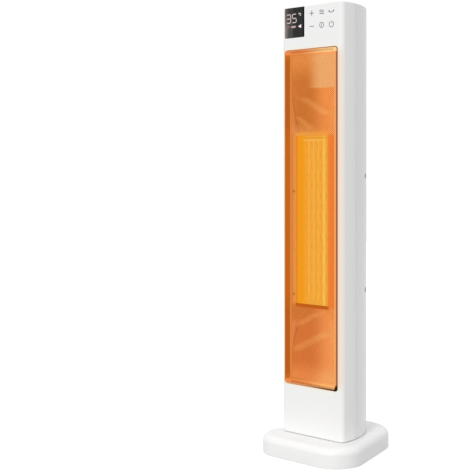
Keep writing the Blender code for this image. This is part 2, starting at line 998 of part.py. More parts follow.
def build_heater_frame():
    half = inner_half - seat_clearance
    frame = box("heater_frame", (-half, frame_front(), duct_low()),
                (half, frame_back(), duct_high()), "duct_metal")
    grip = housing_wall + clearance
    hole = box("cut_frame", (core_left() - grip, frame_front() - overrun, core_low() - grip),
               (core_right() + grip, frame_back() + overrun, core_high() + grip))
    cut(frame, hole)
    for name, height in heater_screw_places():
        centre = (-heater_screw_reach(), tower_z + height)
        cut(frame, disc("cut_frame_" + name, "y", centre, heater_screw_radius + clearance,
                        frame_front() - overrun, frame_back() + overrun, steps=small_segments))


def build_heater_screws():
    for name, height in heater_screw_places():
        centre = (-heater_screw_reach(), tower_z + height)
        high = frame_front() - clearance / 3
        low = bezel_front()
        screw(name, "y", centre, heater_screw_head, low, high, heater_screw_radius, high,
              high + heater_screw_length)


def build_thermal_cutout():
    z = element_low() + element_height / 2
    centre = (core_right() + housing_wall + cutout_radius + seat_clearance, z)
    low = frame_back() + duct_wall + 2 * clearance
    disc("thermal_cutout", "y", centre, cutout_radius, low, low + cutout_height,
         "black_plastic")


def build_deflectors():
    half = inner_half - seat_clearance
    board_bottom = board_top() - board_height
    box("upper_deflector", (-half, frame_front(), duct_high() + duct_plate + 2 * clearance),
        (half, frame_back(), board_bottom - clearance), "duct_metal")
    low = tower_z + window_bottom - tray_slope
    box("lower_deflector", (-half, frame_front(), low),
        (half, frame_back(), duct_low() - duct_plate - 2 * clearance), "duct_metal")


def ribbon(line, thickness):
    # Offset a run of points to both sides into a closed strip
    left = []
    right = []
    for i, (x, y) in enumerate(line):
        before = line[max(i - 1, 0)]
        after = line[min(i + 1, len(line) - 1)]
        dx = after[0] - before[0]
        dy = after[1] - before[1]
        size = math.hypot(dx, dy)
        nx = -dy / size * thickness / 2
        ny = dx / size * thickness / 2
        left.append((x + nx, y + ny))
        right.append((x - nx, y - ny))
    return left + list(reversed(right))


def filter_front():
    return tower_rear_y - shell_wall - seat_clearance - filter_sheet


def housing_back():
    return bezel_front() + housing_depth


def fan_y():
    # Half way between the space in front of the fan and the space behind it
    return (housing_back() + fan_front_space + filter_front() - fan_rear_space) / 2


def fan_radius():
    # The wheel fills the room between the element, the rear wall and the side walls
    depth_room = filter_front() - fan_rear_space - housing_back() - fan_front_space
    side_room = half_width_at(fan_y()) - shell_wall - fan_side_space
    return min(depth_room / 2, side_room)


def around_fan(radius, degrees):
    turn = math.radians(degrees)
    return (radius * math.cos(turn), fan_y() + radius * math.sin(turn))


def duct_walls_low():
    return duct_low() + clearance


def duct_walls_high():
    return duct_high() - clearance


def scroll_half():
    return inner_half - scroll_from_wall


def build_duct_scroll():
    flange_y = frame_back() + clearance + duct_wall / 2
    radius = fan_radius() + scroll_gap
    bend = scroll_half() - duct_wall
    line = [(-scroll_half(), flange_y), (-bend, flange_y + 2 * duct_flange)]
    line += [around_fan(radius, degrees) for degrees in (188, 172, 156, 140, 124, 110)]
    scroll = extrude("duct_scroll", ribbon(line, duct_wall), "z", duct_walls_low(),
                     duct_walls_high(), "duct_metal")
    foot = box("scroll_foot", (-scroll_half() - duct_wall / 2, flange_y - duct_wall / 2,
                               duct_walls_low()),
               (-scroll_half() + duct_flange, flange_y + duct_wall / 2, duct_walls_high()))
    join(scroll, foot)
    for name, height in heater_screw_places():
        centre = (-heater_screw_reach(), tower_z + height)
        cut(scroll, disc("cut_scroll_" + name, "y", centre, heater_screw_radius + clearance,
                         flange_y - duct_wall, flange_y + duct_wall, steps=small_segments))


def build_duct_tongue():
    flange_y = frame_back() + clearance + duct_wall / 2
    near = fan_radius() + tongue_gap + duct_wall / 2
    line = [(scroll_half(), flange_y), (scroll_half() - duct_wall, flange_y + duct_flange),
            around_fan(near + duct_flange, -48), around_fan(near + duct_wall, -34),
            around_fan(near, -22)]
    tongue = extrude("duct_tongue", ribbon(line, duct_wall), "z", duct_walls_low(),
                     duct_walls_high(), "duct_metal")
    foot = box("tongue_foot", (scroll_half() - duct_flange, flange_y - duct_wall / 2,
                               duct_walls_low()),
               (scroll_half() + duct_wall / 2, flange_y + duct_wall / 2, duct_walls_high()))
    join(tongue, foot)


def duct_plate_blank(name, low):
    inset = shell_wall + seat_clearance
    plate = stack(name, levels(tower_plan, ((inset, low), (inset, low + duct_plate))),
                  "duct_metal")
    front = box("cut_front_" + name, (-tower_width, tower_front_y - overrun, low - overrun),
                (tower_width, frame_back() + clearance, low + duct_plate + overrun))
    return cut(plate, front, filter_blank("cut_filter_" + name, clearance))


def build_duct_plates():
    low = duct_low() - duct_plate
    bottom = duct_plate_blank("duct_bottom_plate", low)
    for side in (-1, 1):
        centre = (-bracket_half - hanger_radius, fan_y() + side * (bracket_half - hanger_radius))
        join(bottom, disc("motor_hanger_%d" % side, "z", centre, hanger_radius,
                          bracket_top() + clearance, low + duct_plate / 2,
                          steps=small_segments))
    cut(bottom, disc("cut_bottom_shaft", "z", (0, fan_y()), shaft_radius + 2 * seat_clearance,
                     low - overrun, low + duct_plate + overrun, steps=small_segments))
    top = duct_plate_blank("duct_top_plate", duct_high())
    collar_top = duct_high() + duct_plate + bearing_height - duct_plate / 2
    join(top, disc("bearing_collar", "z", (0, fan_y()), bearing_radius + bearing_collar,
                   duct_high() + duct_plate / 2, collar_top))
    cut(top, disc("cut_collar", "z", (0, fan_y()), bearing_radius + clearance,
                  duct_high() - overrun, collar_top + overrun))


def build_upper_bearing():
    bush = disc("upper_bearing", "z", (0, fan_y()), bearing_radius, duct_high() + clearance,
                duct_high() + clearance + bearing_height, "rubber")
    cut(bush, disc("cut_bearing", "z", (0, fan_y()), shaft_radius + clearance,
                   duct_high() - overrun, duct_high() + 2 * bearing_height,
                   steps=small_segments))


def fan_low():
    return duct_low() + fan_end_gap


def fan_high():
    return duct_high() - fan_end_gap


def build_fan_wheel():
    middle = (fan_low() + fan_high()) / 2
    wheel = disc("fan_wheel", "z", (0, fan_y()), fan_radius(), fan_low(), fan_low() + fan_disc,
                 "black_plastic", steps=2 * small_segments)
    for name, low in (("fan_middle_disc", middle - fan_disc / 2), ("fan_top_disc",
                                                                   fan_high() - fan_disc)):
        join(wheel, disc(name, "z", (0, fan_y()), fan_radius(), low, low + fan_disc,
                         steps=2 * small_segments))
    blades = []
    for i in range(fan_blades):
        turn = 360 * i / fan_blades
        outer = around_fan(fan_radius() - blade_sink, turn)
        inner = around_fan(fan_radius() - fan_blade_depth, turn + 14)
        strip = ribbon([inner, outer], blade_sheet)
        blades.append(extrude("blade", strip, "z", fan_low() + fan_disc / 2,
                              fan_high() - fan_disc / 2))
    join(wheel, merged("fan_blades", blades))
    cut(wheel, disc("cut_fan_bore", "z", (0, fan_y()), shaft_radius + clearance,
                    fan_low() - overrun, fan_high() + overrun, steps=small_segments))


def stack_top():
    return duct_low() - duct_plate - stack_drop


def stack_low():
    return stack_top() - stack_height


def bracket_top():
    return stack_top() + bracket_space + bracket_sheet


def bracket_low():
    return stack_low() - bracket_space - bracket_sheet


def build_fan_shaft():
    disc("fan_shaft", "z", (0, fan_y()), shaft_radius, bracket_low(),
         fan_high() + shaft_above_fan, "steel", steps=small_segments)


def build_motor_rotor():
    rotor = disc("motor_rotor", "z", (0, fan_y()), rotor_radius, stack_low() - rotor_overhang,
                 stack_top() + rotor_overhang, "steel")
    cut(rotor, disc("cut_rotor", "z", (0, fan_y()), shaft_radius + clearance,
                    stack_low() - stack_height, stack_top() + stack_height,
                    steps=small_segments))


def build_motor_stator():
    # The coil sits on the front limb of the stack
    low = stack_low()
    high = stack_top()
    y = fan_y()
    stator = box("motor_stator", (-stack_half_width, y - stack_front, low),
                 (stack_half_width, y + stack_rear, high), "steel")
    bore = disc("cut_stator_bore", "z", (0, y), rotor_radius + rotor_gap, low - overrun,
                high + overrun, steps=2 * round_segments)
    limb_back = y - stack_front + arm_width
    half = stack_half_width - arm_width
    window = box("cut_stator_window", (-half, limb_back, low - overrun),
                 (half, limb_back + coil_build + 2 * clearance, high + overrun))
    cut(stator, bore, window)
    reach = half - clearance
    coil = box("motor_coil", (-reach, y - stack_front - coil_build, low - coil_build),
               (reach, limb_back + coil_build + clearance, high + coil_build), "copper")
    gap = clearance
    cut(coil, box("cut_coil", (-half - overrun, y - stack_front - gap, low - gap),
                  (half + overrun, limb_back + gap, high + gap)))


def build_motor_bracket():
    left = -stack_half_width - clearance - bracket_sheet
    front = fan_y() - bracket_half
    rear = fan_y() + bracket_half
    bracket = box("motor_bracket", (left, front, bracket_low()),
                  (bracket_half, rear, bracket_top()), "steel")
    inside = box("cut_bracket", (left + bracket_sheet, front - overrun,
                                 bracket_low() + bracket_sheet),
                 (bracket_half + overrun, rear + overrun, bracket_top() - bracket_sheet))
    bore = disc("cut_bracket_bore", "z", (0, fan_y()), shaft_radius + clearance,
                bracket_low() - overrun, bracket_top() + overrun, steps=small_segments)
    cut(bracket, inside, bore)


def build_rear_grille():
    low = tower_z + grille_bottom
    high = low + grille_height
    grille = stack("rear_grille", levels(tower_plan, ((0, low), (0, high))), "shell_grey")
    hollow = stack("cut_grille_hollow", levels(tower_plan, (
        (shell_wall, low - overrun), (shell_wall, high + overrun))))
    block = box("keep_grille", (-grille_half, 0, low - overrun),
                (grille_half, tower_rear_y + overrun, high + overrun))
    cut(grille, hollow)
    keep(grille, block)
    step = grille_height / (slot_count + 1)
    slots = []
    for i in range(slot_count):
        z = low + step * (i + 1)
        slots.append(box("slot", (-slot_half, 0, z - slot_height / 2),
                         (slot_half, tower_rear_y + overrun, z + slot_height / 2)))
    cut(grille, merged("cut_slots", slots))
    notches = []
    for height in notch_heights:
        z = tower_z + height
        for side in (-1, 1):
            edge = side * grille_half
            inner = edge - side * notch_width / 2
            outer = edge + side * notch_width / 2
            notches.append(box("notch", (min(inner, outer), 0, z - notch_height / 2),
                               (max(inner, outer), tower_rear_y, z + notch_height / 2)))
    cut(grille, merged("cut_notches", notches))


def filter_blank(name, grow, look=None):
    # A sheet bent along the inside of the rear wall
    low = tower_z + grille_bottom + filter_margin - grow
    high = tower_z + grille_bottom + grille_height - filter_margin + grow
    outer = shell_wall + seat_clearance - grow
    inner = outer + filter_sheet + 2 * grow
    sheet = stack(name, levels(tower_plan, ((outer, low), (outer, high))), look)
    hollow = stack("hollow_" + name, levels(tower_plan, (
        (inner, low - overrun), (inner, high + overrun))))
    block = box("block_" + name, (-filter_half - grow, 0, low - overrun),
                (filter_half + grow, tower_rear_y + overrun, high + overrun))
    cut(sheet, hollow)
    return keep(sheet, block)


def build_dust_filter():
    filter_blank("dust_filter", 0, "filter")


def build_display():
    extrude("display_lens", lens_outline(clearance), "y", tower_front_y,
            tower_front_y + lens_sheet, "lens")
    left = -tower_width / 2 + lens_left
    high = top_z - lens_below_top
    low_y = tower_front_y + lens_sheet + clearance
    box("display_module", (left + module_margin, low_y, high - lens_height + module_margin),
        (left + lens_width - module_margin, low_y + module_depth, high - module_margin),
        "black_plastic")


def board_half():
    return inner_half - board_side_gap


def build_control_board():
    front = board_front_y()
    low = board_top() - board_height
    board = box("control_board", (-board_half(), front, low),
                (board_half(), front + board_sheet, board_top()), "board")
    for column, x in enumerate(key_columns):
        for row, drop in enumerate(key_rows):
            centre = (x, top_z - drop)
            join(board, disc("key_pad_%d_%d" % (column, row), "y", centre, key_radius,
                             tower_front_y + shell_wall + clearance, front + board_sheet / 2,
                             steps=small_segments))


def power_board_half():
    return inner_half - power_board_side_gap


def build_power_board():
    y = tower_front_y + power_board_behind_front
    low = tower_z + floor_sheet + clearance
    board = box("power_board", (-power_board_half(), y - board_sheet / 2, low),
                (power_board_half(), y + board_sheet / 2, low + power_board_height), "board")
    size = power_board_height / 3
    relay = box("relay_block", (-size, y, low + power_board_height - 1.4 * size),
                (size, y + size, low + power_board_height - 0.2 * size))
    join(board, relay)


def switch_middle():
    return tower_z + switch_height


def build_switch_housing():
    z = switch_middle()
    flange_low = tower_rear_y + clearance
    wide = switch_half_width + switch_flange
    tall = switch_half_height + switch_flange
    housing = box("switch_housing", (-switch_half_width, tower_rear_y - switch_depth,
                                     z - switch_half_height),
                  (switch_half_width, flange_low + switch_flange_sheet / 2,
                   z + switch_half_height), "black_plastic")
    flange = box("switch_rim", (-wide, flange_low, z - tall),
                 (wide, flange_low + switch_flange_sheet, z + tall))
    pocket = box("cut_switch_pocket", (-switch_half_width + switch_wall,
                                       tower_rear_y - switch_pocket_depth,
                                       z - switch_half_height + switch_wall),
                 (switch_half_width - switch_wall, tower_rear_y + switch_depth,
                  z + switch_half_height - switch_wall))
    reach = switch_half_width - switch_wall + rocker_pin_reach
    pin_hole = disc("cut_switch_pin", "x", (rocker_y(), z), rocker_pin + clearance, -reach,
                    reach, steps=small_segments)
    join(housing, flange)
    cut(housing, pocket, pin_hole)


def rocker_y():
    return tower_rear_y - rocker_sink


def build_rocker():
    tilt = math.radians(rocker_tilt)
    profile = (
        (rocker_crest, rocker_half_height), (rocker_dip, 0),
        (rocker_crest, -rocker_half_height), (-rocker_back, -rocker_back_half),
        (-rocker_back, rocker_back_half),
    )
    outline = []
    for y, z in profile:
        turned_y = y * math.cos(tilt) - z * math.sin(tilt)
        turned_z = y * math.sin(tilt) + z * math.cos(tilt)
        outline.append((rocker_y() + turned_y, switch_middle() + turned_z))
    half = switch_half_width - switch_wall - rocker_side_gap
    rocker = extrude("power_rocker", outline, "x", -half, half, "black_plastic")
    reach = switch_half_width - switch_wall + rocker_pin_reach - clearance
    join(rocker, disc("rocker_pin", "x", (rocker_y(), switch_middle()), rocker_pin, -reach,
                      reach, steps=small_segments))


def tip_body_low():
    return plate_top() + clearance


def tip_bore_top():
    return tip_body_low() + tip_body_height - 2 * clearance


def build_tip_switch():
    half_x = tip_body_width / 2
    half_y = tip_body_depth / 2
    body = box("tip_switch_body", (tip_x - half_x, tip_y - half_y, tip_body_low()),
               (tip_x + half_x, tip_y + half_y, tip_body_low() + tip_body_height),
               "black_plastic")
    cut(body, disc("cut_tip_bore", "z", (tip_x, tip_y), tip_bore_radius, 0,
                   tip_bore_top() - plate_sheet / 2, steps=small_segments))
    disc("tip_switch_plunger", "z", (tip_x, tip_y), plunger_radius, 0, plunger_length,
         "acetal", steps=small_segments)


def build_tip_spring():
    # A round wire wound on a helix, closed at both ends
    low = plunger_length + spring_wire + clearance
    high = tip_bore_top() - plate_sheet / 2 - spring_wire - clearance
    steps = spring_turns * spring_turn_steps
    sections = []
    for i in range(steps + 1):
        turn = 2 * math.pi * i / spring_turn_steps
        z = low + (high - low) * i / steps
        rise = math.atan2((high - low) / spring_turns, 2 * math.pi * spring_radius)
        out = (math.cos(turn), math.sin(turn), 0)
        up = (math.sin(turn) * math.sin(rise), -math.cos(turn) * math.sin(rise),
              math.cos(rise))
        section = []
        for k in range(6):
            a = spring_wire * math.cos(math.pi * k / 3)
            b = spring_wire * math.sin(math.pi * k / 3)
            section.append((tip_x + spring_radius * out[0] + a * out[0] + b * up[0],
                            tip_y + spring_radius * out[1] + a * out[1] + b * up[1],
                            z + b * up[2]))
        sections.append(section)
    stack("tip_switch_spring", sections, "steel")


def hang(name, centre):
    # Put a moving piece's origin on its joint axis
    piece = bpy.data.objects[name]
    piece.data.transform(Matrix.Translation(-Vector(centre)))
    piece.location = centre


def hang_moving_pieces():
    hang("swing_pinion", (0, pinion_y(), hub_end()))
    hang("tip_switch_plunger", (tip_x, tip_y, 0))
    hang("power_rocker", (0, rocker_y(), switch_middle()))
    for name in ("fan_wheel", "fan_shaft", "motor_rotor"):
        hang(name, (0, fan_y(), fan_low()))


build_base_plate()
build_base_cover()
build_feet()
build_base_screws()
build_cord_gland()
build_glide_ring()
build_swing_motor()
build_swing_pinion()
build_tip_switch()
build_tip_spring()
build_tower_floor()
build_sector_gear()
build_shell_screws()
build_front_shell()
build_rear_shell()
build_top_cap()
build_front_grille()
build_heater_housing()
build_heater_core()
build_heater_frame()
build_heater_screws()
build_thermal_cutout()
build_deflectors()
build_duct_scroll()
build_duct_tongue()
build_duct_plates()
build_upper_bearing()
build_fan_wheel()
build_fan_shaft()
build_motor_rotor()
build_motor_stator()
build_motor_bracket()
build_rear_grille()
build_dust_filter()
build_display()
build_control_board()
build_power_board()
build_switch_housing()
build_rocker()
hang_moving_pieces()
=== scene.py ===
import math

import bmesh
import bpy
from mathutils import Matrix, Vector


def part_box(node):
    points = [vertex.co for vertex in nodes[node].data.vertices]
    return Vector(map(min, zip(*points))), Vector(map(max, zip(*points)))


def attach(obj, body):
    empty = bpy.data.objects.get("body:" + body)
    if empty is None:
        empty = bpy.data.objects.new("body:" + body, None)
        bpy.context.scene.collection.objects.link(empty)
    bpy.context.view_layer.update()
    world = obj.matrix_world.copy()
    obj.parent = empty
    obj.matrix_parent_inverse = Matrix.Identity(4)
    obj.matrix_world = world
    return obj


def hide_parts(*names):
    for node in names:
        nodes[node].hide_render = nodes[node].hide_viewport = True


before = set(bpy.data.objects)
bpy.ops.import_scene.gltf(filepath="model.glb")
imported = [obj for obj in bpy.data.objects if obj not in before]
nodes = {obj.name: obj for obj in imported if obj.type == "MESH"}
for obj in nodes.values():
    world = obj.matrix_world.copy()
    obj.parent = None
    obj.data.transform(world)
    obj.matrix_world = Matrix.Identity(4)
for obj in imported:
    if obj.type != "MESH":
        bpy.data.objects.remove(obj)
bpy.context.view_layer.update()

print("frame loaded:", len(nodes), "nodes")

# Metres, front towards -Y, the swivel axis at x = y = 0
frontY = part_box("front_shell")[0].y
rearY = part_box("rear_shell")[1].y
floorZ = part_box("front_shell")[0].z
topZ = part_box("front_shell")[1].z


# Camera and light
# The photograph's upright edges are parallel, so the camera is level and its lens is shifted
view = {"place": (1.118558, -1.378487, 0.447416), "yaw": 44.19405, "lens": 85.389, "shift": -0.142265,
        "sensor": 36, "farthest": 50}
daylight = {"turn": 18, "height": 32, "softness": 16, "sun": 1.45, "ambient": 0.78}
floor = {"half": 4, "tone": (0.45, 0.45, 0.45), "glow": 0.80}


def addObject(name, data):
    made = bpy.data.objects.new(name, data)
    bpy.context.scene.collection.objects.link(made)
    return made


def setCamera():
    eye = addObject("camera", bpy.data.cameras.new("camera"))
    eye.data.lens = view["lens"]
    eye.data.sensor_width = view["sensor"]
    eye.data.clip_end = view["farthest"]
    eye.data.shift_y = view["shift"]
    eye.location = view["place"]
    eye.rotation_euler = (math.radians(90), 0, math.radians(view["yaw"]))
    bpy.context.scene.camera = eye


def setLight():
    lamp = addObject("keyLight", bpy.data.lights.new("keyLight", "SUN"))
    lamp.data.energy = daylight["sun"]
    lamp.data.angle = math.radians(daylight["softness"])
    lamp.rotation_euler = (math.radians(90 - daylight["height"]), 0, math.radians(daylight["turn"]))
    world = bpy.data.worlds.new("studio")
    bpy.context.scene.world = world
    world.use_nodes = True
    tree = world.node_tree
    tree.nodes.clear()
    back = tree.nodes.new("ShaderNodeBackground")
    strength = brightRays(tree) * (1 - daylight["ambient"]) + daylight["ambient"]
    setInputs(back, {"Color": (1, 1, 1), "Strength": strength})
    tree.links.new(back.outputs[0], tree.nodes.new("ShaderNodeOutputWorld").inputs[0])


def brightRays(tree):
    # 1 for the rays that should find a white background
    rays = tree.nodes.new("ShaderNodeLightPath").outputs
    camera, glossy, through = [Field(tree, rays["Is %s Ray" % kind])
                               for kind in ("Camera", "Glossy", "Transmission")]
    return larger(larger(camera, glossy), through)


def setFloor():
    half = floor["half"]
    corners = [(-half, -half, 0), (half, -half, 0), (half, half, 0), (-half, half, 0)]
    sheet = addMesh("studioFloor", corners, [(0, 1, 2, 3)])
    look, tree, shader = newLook("paleFloor")
    setInputs(shader, {"Base Color": floor["tone"], "Roughness": 1, "Specular IOR Level": 0,
                       "Emission Color": (1, 1, 1), "Emission Strength": brightRays(tree) * floor["glow"]})
    sheet.data.materials.append(look)


# Tools for meshes
bevelAngle = 32  # degrees; flatter edges aren't rounded
smoothAngle = 40  # degrees; sharper edges stay sharp in the shading
past = 0.01  # how far a cutting shape passes what it cuts
farSide = 0.1  # more than half the tower's width


def addMesh(name, points, faces):
    mesh = bpy.data.meshes.new(name)
    mesh.from_pydata([tuple(point) for point in points], [], faces)
    mesh.update()
    return addObject(name, mesh)


def faceOut(piece):
    shape = bmesh.new()
    shape.from_mesh(piece.data)
    bmesh.ops.recalc_face_normals(shape, faces=shape.faces)
    shape.to_mesh(piece.data)
    shape.free()
    return piece


def skin(name, rings, loop=False):
    # Skin a run of rings with equal numbers of points, and cap the ends or close the run
    count = len(rings[0])
    points = [point for ring in rings for point in ring]
    faces = []
    for level in range(len(rings) if loop else len(rings) - 1):
        low = level * count
        high = (level + 1) % len(rings) * count
        for i in range(count):
            j = (i + 1) % count
            faces.append((low + i, low + j, high + j, high + i))
    if not loop:
        faces.append(tuple(range(count)))
        faces.append(tuple(range(len(points) - count, len(points))))
    return faceOut(addMesh(name, points, faces))


def slab(name, outline, axis, low, high):
    # An outline in x and z made thick along y, or one in x and y made thick along z
    rings = []
    for level in (low, high):
        rings.append([(a, level, b) if axis == "y" else (a, b, level) for a, b in outline])
    return skin(name, rings)


def brick(name, low, high):
    outline = [(low[0], low[1]), (high[0], low[1]), (high[0], high[1]), (low[0], high[1])]
    return slab(name, outline, "z", low[2], high[2])


def lathe(name, profile, steps):
    # Turn (radius, height) pairs round the Z axis
    turns = [2 * math.pi * i / steps for i in range(steps)]
    return skin(name, [[(radius * math.cos(t), radius * math.sin(t), height) for t in turns]
                       for radius, height in profile])


def bake(piece):
    # The modifiers' result becomes the piece's own mesh
    graph = bpy.context.evaluated_depsgraph_get()
    made = bpy.data.meshes.new_from_object(piece.evaluated_get(graph))
    piece.modifiers.clear()
    piece.data = made
    return piece


def cutBy(piece, *cutters):
    for cutter in cutters:
        change = piece.modifiers.new("cut", "BOOLEAN")
        change.operation = "DIFFERENCE"
        change.solver = "EXACT"
        change.object = cutter
    bake(piece)
    for cutter in cutters:
        bpy.data.objects.remove(cutter, do_unlink=True)
    return piece


def soften(piece, width, segments=2):
    change = piece.modifiers.new("edges", "BEVEL")
    change.width = width
    change.segments = segments
    change.limit_method = "ANGLE"
    change.angle_limit = math.radians(bevelAngle)
    change.harden_normals = False
    bake(piece)
    return smooth(piece)


def smooth(piece, angle=smoothAngle):
    piece.data.shade_smooth()
    piece.data.set_sharp_from_angle(angle=math.radians(angle))
    change = piece.modifiers.new("shading", "WEIGHTED_NORMAL")
    change.keep_sharp = True
    return bake(piece)


def together(name, pieces):
    shape = bmesh.new()
    for piece in pieces:
        shape.from_mesh(piece.data)
        bpy.data.objects.remove(piece, do_unlink=True)
    mesh = bpy.data.meshes.new(name)
    shape.to_mesh(mesh)
    shape.free()
    return addObject(name, mesh)


def fit(piece, body, look, slot, *stands):
    # Give a finished piece its finish and its body, and hide the nodes that it stands for
    piece.data.materials.clear()
    piece.data.materials.append(look)
    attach(piece, body)
    if stands:
        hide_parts(*stands)


# Tools for node trees
class Field:
    # What a node puts out, for sums such as a * b + 0.5
    def __init__(self, tree, socket):
        self.tree = tree
        self.socket = socket

    def __add__(self, other):
        return maths("ADD", self, other)

    def __sub__(self, other):
        return maths("SUBTRACT", self, other)

    def __rsub__(self, other):
        return maths("SUBTRACT", other, self)

    def __mul__(self, other):
        return maths("MULTIPLY", self, other)

    def __truediv__(self, other):
        return maths("DIVIDE", self, other)

    def __mod__(self, other):
        return maths("MODULO", self, other)

    def __abs__(self):
        return maths("ABSOLUTE", self)


def feed(value, socket):
    # Link what a node puts out, or set a plain value
    if isinstance(value, Field):
        value.tree.links.new(value.socket, socket)
    elif socket.type == "RGBA":
        socket.default_value = (*value, 1)
    else:
        socket.default_value = value


def setInputs(node, values):
    for label, value in values.items():
        feed(value, node.inputs[label])


def treeOf(*values):
    return next(value.tree for value in values if isinstance(value, Field))


def maths(kind, *values, clamp=False):
    tree = treeOf(*values)
    node = tree.nodes.new("ShaderNodeMath")
    node.operation = kind
    node.use_clamp = clamp
    for value, socket in zip(values, node.inputs):
        feed(value, socket)
    return Field(tree, node.outputs[0])


def larger(a, b):
    return maths("MAXIMUM", a, b)


def smaller(a, b):
    return maths("MINIMUM", a, b)


def ramp(value, low, high, toLow=0.0, toHigh=1.0):
    # Smooth step from toLow, where the value is low, to toHigh
    node = value.tree.nodes.new("ShaderNodeMapRange")
    node.interpolation_type = "SMOOTHSTEP"
    setInputs(node, {"Value": value, "From Min": low, "From Max": high, "To Min": toLow, "To Max": toHigh})
    return Field(value.tree, node.outputs["Result"])


def span(value, low, high, soft=0.0004):
    # 1 between two places, with soft ends
    return ramp(value, low - soft, low + soft) * ramp(value, high - soft, high + soft, 1, 0)


def about(place, offsets):
    return [place + offset for offset in offsets]


def blend(share, a, b, kind="MIX"):
    tree = treeOf(share, a, b)
    node = tree.nodes.new("ShaderNodeMix")
    node.data_type = "RGBA"
    node.blend_type = kind
    for value, index in ((share, 0), (a, 6), (b, 7)):
        feed(value, node.inputs[index])
    return Field(tree, node.outputs[2])


def layered(colour, *layers):
    # Tints laid over a colour by their masks; a tint's fourth number is its share
    for mask, tint in layers:
        if isinstance(tint, tuple) and len(tint) == 4:
            mask = mask * tint[3]
            tint = tint[:3]
        colour = blend(mask, colour, tint)
    return colour


def parts(vector):
    split = vector.tree.nodes.new("ShaderNodeSeparateXYZ")
    feed(vector, split.inputs[0])
    return [Field(vector.tree, socket) for socket in split.outputs]


def places(tree):
    where = Field(tree, tree.nodes.new("ShaderNodeTexCoord").outputs["Object"])
    return where, parts(where)


facingRear = (0.25, 0.6)  # how far a normal leans to the rear where the light fades and where it ends


def facingFront(tree):
    # 0 on faces that look to the rear, by the piece's own normals
    facing = Field(tree, tree.nodes.new("ShaderNodeTexCoord").outputs["Normal"])
    return ramp(parts(facing)[1], *facingRear, 1, 0)


def noise(where, scale, detail=2.0, stretch=None):
    tree = where.tree
    if stretch:
        mapping = tree.nodes.new("ShaderNodeMapping")
        setInputs(mapping, {"Vector": where, "Scale": stretch})
        where = Field(tree, mapping.outputs[0])
    node = tree.nodes.new("ShaderNodeTexNoise")
    setInputs(node, {"Vector": where, "Scale": scale, "Detail": detail})
    return Field(tree, node.outputs["Fac"])


def newLook(name):
    look = bpy.data.materials.new(name)
    look.use_nodes = True
    return look, look.node_tree, look.node_tree.nodes["Principled BSDF"]


def newTree(name, family, inputs, outputs):
    # An input is named with the number, colour or vector it starts at, or with its kind of socket
    tree = bpy.data.node_groups.new(name, family + "NodeTree")
    kinds = {int: "Int", float: "Float", tuple: "Color" if family == "Shader" else "Vector"}
    for label, value in inputs.items():
        kind = kinds.get(type(value), value)
        socket = tree.interface.new_socket(name=label, in_out="INPUT", socket_type="NodeSocket" + kind)
        if type(value) in kinds:
            socket.default_value = (*value, 1) if kind == "Color" else value
    for label, kind in outputs.items():
        tree.interface.new_socket(name=label, in_out="OUTPUT", socket_type="NodeSocket" + kind)
    given = {socket.name: Field(tree, socket) for socket in tree.nodes.new("NodeGroupInput").outputs}
    return tree, given, tree.nodes.new("NodeGroupOutput").inputs


def useGroup(tree, group, values):
    node = tree.nodes.new("ShaderNodeGroup")
    node.node_tree = group
    setInputs(node, values)
    return {socket.name: Field(tree, socket) for socket in node.outputs}


def addBump(shader, height, strength, distance):
    bump = height.tree.nodes.new("ShaderNodeBump")
    setInputs(bump, {"Strength": strength, "Distance": distance, "Height": height})
    height.tree.links.new(bump.outputs[0], shader.inputs["Normal"])


# Sizes that the finishes and the pieces share
window = {"centre": -0.00135, "half": 0.05355, "low": 0.0743, "high": 0.5997, "corner": 0.0055}
windowLow = floorZ + window["low"]
windowHigh = floorZ + window["high"]
tray = {"depth": 0.0045, "slope": 0.006, "sheet": 0.0009, "border": 0.0030, "rim": 0.0013, "bend": 0.0002,
        "pitch": 0.0034, "strandSlope": 1.0, "strand": 0.00065, "thick": 0.0006, "meshInset": 0.0012,
        "meshGaps": (0.0001, 0.00015), "ventPitch": 0.00407, "ventWidth": 0.0023, "ventHeight": 0.0028,
        "ventPlace": 0.40, "ventMargin": 0.020, "ventCut": 0.009}
element = {"inset": 0.0012, "wall": 0.0035, "leftBand": 0.013, "rightBand": 0.004, "endBand": 0.0075,
           "sheet": 0.0013, "corner": 0.0015, "tubes": 4, "tube": 0.0022, "tubeEdge": 0.0004, "gap": 0.0003,
           "finRows": 80, "finSheet": 0.0006, "finDepth": 0.0145, "edge": 0.0004}
elementLow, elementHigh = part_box("heater_housing")
elementLeft = elementLow.x + element["inset"]
coreLeft = elementLow.x + element["leftBand"] + element["wall"]
coreRight = elementHigh.x - element["rightBand"]
coreBottom = elementLow.z + element["endBand"]
coreTop = elementHigh.z - element["endBand"]
casing = {"width": 0.1226, "depth": 0.116, "corner": 0.0076, "taperStart": 0.0237, "pastRear": 0.0064,
          "power": 1.55, "blend": 0.78, "flat": 0.55, "wall": 0.0024, "seam": 0.0367, "seamGap": 0.0005,
          "topRound": 0.0010, "bottomRound": 0.0014, "skirt": 0.0018, "edge": 0.0004,
          "leastCorner": 0.0016, "gap": 0.0003, "switchFlange": 0.0013, "opening": (-0.002, 0.006),
          "cornerSteps": 10, "sideSteps": 26, "rearSteps": 14, "roundSteps": 5}
lens = {"left": 0.00625, "width": 0.0408, "height": 0.0479, "top": 0.0004, "corner": 0.002, "sink": 0.00015,
        "back": 0.0022, "edge": 0.0004, "fit": 0.0002}
lensLeft = -casing["width"] / 2 + lens["left"]
lensTop = topZ - lens["top"]


# Surface effects that several finishes share
mould = {"driftScale": 9.0, "driftDetail": 3.0, "depth": 0.00006}
rolled = {"lineScale": 90.0, "stainScale": 26.0, "detail": 4.0, "stretch": (12, 12, 0.6),
          "stainRange": (0.45, 0.75), "lineRough": 0.25, "stainRough": 0.2, "bump": 0.06,
          "depth": 0.00005}


